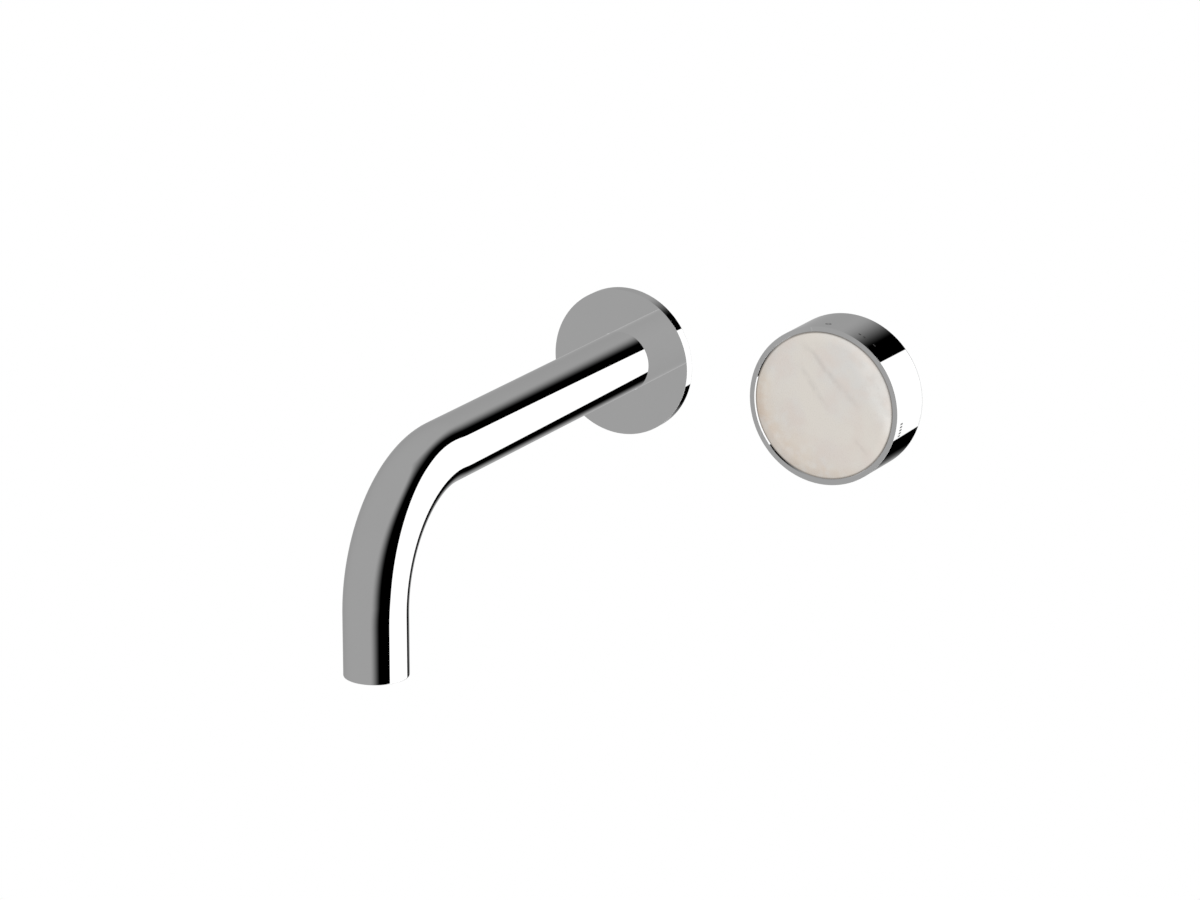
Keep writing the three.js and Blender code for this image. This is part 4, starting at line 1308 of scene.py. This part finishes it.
@dataclass
class SoftBox:
    """The reflected studio: a tall white soft box at the right with a dark surround, in a grey room.

    Its angles are in degrees. The surround ends softly between two multiples of the box's size, which grow from
    the wall's side to the room's side.
    """

    centre: Place = (50.0, -100.0, -10.0)
    radius: float = 900.0
    heading: float = 62.5
    waist: float = -10.0
    half_width: float = 45.0
    flare: float = 0.2
    rise: float = 54.0
    squareness: float = 2.3
    soft_edge: float = 0.004
    dark_ends: tuple[float, float] = (1.26, 1.76)
    dark_growth: tuple[float, float] = (0.56, 0.68)
    white: float = 1.78
    room: float = 0.56
    second_bounce: float = 0.96
    second_share: float = 0.03
    second_cap: float = 1.33

    def build(self) -> None:
        """Builds the dome that only reflections see."""
        steps = 48
        arc = [(i + 0.5) * math.pi / steps for i in range(steps)]
        curve = [(self.radius * math.sin(t), self.radius * math.cos(t)) for t in arc]
        section = plain((0, self.radius), *curve, (0, -self.radius))
        dome = Draft().sweep(section, Axis.UP.frame((0, 0, 0))).build("studio_dome", 80)
        dome.location = Vector(self.centre) * MM
        dome.data.materials.append(self.material())
        hide(dome, "camera", "diffuse", "transmission", "volume_scatter", "shadow")

    def material(self) -> bpy.types.Material:
        """Returns the dome's light by direction, from its heading and height in degrees."""
        made = bpy.data.materials.new("studio_dome_light")
        made.cycles.emission_sampling = "NONE"
        tree = empty_tree(made)
        spot = tree.put("ShaderNodeTexCoord").outputs["Object"]
        way = tree.vector("NORMALIZE", spot).outputs[0]
        part = tree.put("ShaderNodeSeparateXYZ", {0: way}).outputs
        heading = tree.math("DEGREES", tree.math("ARCTAN2", part["X"], part["Y"]))
        height = tree.math("DEGREES", tree.math("ARCSINE", part["Z"]))
        above = tree.math("MAXIMUM", tree.math("SUBTRACT", height, self.waist), 0.0)
        below = tree.math("MAXIMUM", tree.math("SUBTRACT", self.waist, height), 0.0)
        width = tree.math("MULTIPLY_ADD", below, self.flare, self.half_width)
        turned = tree.math("ABSOLUTE", tree.math("SUBTRACT", heading, self.heading))
        shorter = tree.math("SUBTRACT", 180.0, tree.math("ABSOLUTE", tree.math("SUBTRACT", 180.0, turned)))
        aside = tree.math("DIVIDE", shorter, width)
        square = tree.math("POWER", aside, self.squareness)
        raised = tree.math("POWER", tree.math("DIVIDE", above, self.rise), self.squareness)
        out = tree.math("POWER", tree.math("ADD", square, raised), 1 / self.squareness)
        box = tree.ramp(out, 1 + self.soft_edge, 1 - self.soft_edge)
        behind = tree.ramp(part["Y"], 0.3, -1.05)
        ends = [tree.math("MULTIPLY_ADD", behind, *pair) for pair in zip(self.dark_growth, self.dark_ends)]
        room = tree.ramp(out, *ends, (0.0, self.room))
        light = tree.math("MULTIPLY_ADD", box, self.white, room)
        again = tree.math("GREATER_THAN", tree.put("ShaderNodeLightPath").outputs["Ray Depth"], 1.5)
        kept = tree.math("MULTIPLY", light, tree.math("SUBTRACT", 1.0, again))
        capped = tree.math("MINIMUM", light, self.second_cap)
        faint = tree.math("MULTIPLY_ADD", capped, self.second_share, self.second_bounce)
        strength = tree.math("MULTIPLY_ADD", again, faint, kept)
        glow = tree.put("ShaderNodeEmission", {"Strength": strength})
        tree.put("ShaderNodeOutputMaterial", {"Surface": glow.outputs[0]})
        return made


@dataclass
class Studio:
    """Floor, wall, sky, key light and camera, in metres and degrees."""

    floor_height: float = -0.42
    floor_half: float = 3.0
    wall_middle: Place = (0.06, 0.0, 0.0)
    wall_half: tuple[float, float] = (0.16, 0.105)
    daylight: float = 0.576
    key_place: Place = (1.9, -1.2, 1.2)
    key_size: float = 1.4
    key_power: float = 42.0
    target: Place = (0.020146, -0.06, -0.019742)
    camera_turn: float = 28.152
    camera_rise: float = 16.444
    camera_distance: float = 2.026138
    lens: float = 154.546

    def build(self) -> None:
        """Builds the whole studio."""
        SoftBox().build()
        self.sky()
        self.panel("floor", (0, 0, self.floor_height), (self.floor_half, self.floor_half), 0.0)
        self.panel("wall", self.wall_middle, self.wall_half, math.pi / 2)
        self.key_light()
        self.camera()
        bpy.context.scene.view_settings.view_transform = "Standard"

    def sky(self) -> None:
        """Makes the background white to the camera and an even daylight to everything else."""
        world = bpy.data.worlds.new("studio_sky")
        tree = empty_tree(world)
        seen = tree.put("ShaderNodeLightPath").outputs["Is Camera Ray"]
        strength = tree.math("MULTIPLY_ADD", seen, 1.0 - self.daylight, self.daylight)
        sky = tree.put("ShaderNodeBackground", {"Color": grey(1.0), "Strength": strength})
        tree.put("ShaderNodeOutputWorld", {"Surface": sky.outputs[0]})
        bpy.context.scene.world = world

    def panel(self, name: str, middle: Place, half: tuple[float, float], tilt: float) -> None:
        """Builds a white panel of the studio, clear from behind.

        Args:
            name: its name.
            middle: its middle.
            half: half its size sideways and the other way.
            tilt: its turn about the sideways direction, in radians.
        """
        corners = [(-1, -1), (1, -1), (1, 1), (-1, 1)]
        mesh = bpy.data.meshes.new(name)
        mesh.from_pydata([(a * half[0], b * half[1], 0) for a, b in corners], [], [(0, 1, 2, 3)])
        panel = place(name, mesh)
        panel.location = middle
        panel.rotation_euler = (tilt, 0, 0)
        hide(panel, "diffuse", "glossy", "transmission", "volume_scatter", "shadow")
        made = bpy.data.materials.new(f"{name}_white")
        tree = empty_tree(made)
        front = tree.put("ShaderNodeEmission").outputs[0]
        back = tree.put("ShaderNodeNewGeometry").outputs["Backfacing"]
        clear = tree.put("ShaderNodeBsdfTransparent").outputs[0]
        surface = tree.put("ShaderNodeMixShader", {0: back, 1: front, 2: clear}).outputs[0]
        tree.put("ShaderNodeOutputMaterial", {"Surface": surface})
        mesh.materials.append(made)

    def key_light(self) -> None:
        """Hangs one large soft lamp at the upper right, for the stone and the seals."""
        lamp = bpy.data.lights.new("key", "AREA")
        lamp.shape = "DISK"
        lamp.size = self.key_size
        lamp.energy = self.key_power
        key = place("key", lamp)
        key.location = self.key_place
        key.rotation_euler = (Vector(key.location) - Vector(self.target)).to_track_quat("Z", "Y").to_euler()
        hide(key, "glossy")

    def camera(self) -> None:
        """Sets the camera up in front, to the right of the set and above it."""
        turn, rise = math.radians(self.camera_turn), math.radians(self.camera_rise)
        away = Vector((math.sin(turn) * math.cos(rise), -math.cos(turn) * math.cos(rise), math.sin(rise)))
        data = bpy.data.cameras.new("camera")
        data.lens = self.lens
        data.sensor_width = 36.0
        data.clip_end = 20.0
        camera = place("camera", data)
        camera.location = Vector(self.target) + away * self.camera_distance
        camera.rotation_euler = (math.pi / 2 - rise, 0, turn)
        bpy.context.scene.camera = camera


def write_size() -> None:
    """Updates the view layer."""
    bpy.context.view_layer.update()


def main() -> None:
    """Builds the set, sub-assembly by sub-assembly, and then the studio round it."""
    logging.basicConfig(level=logging.INFO, format="%(name)s: %(message)s")
    for assembly in (Spout, WallFlange, Connector, Knob, CartridgeStator, CartridgeRotor, Waterway, Mounting):
        assembly().build()
    Studio().build()
    write_size()


if __name__ == "__main__":
    main()
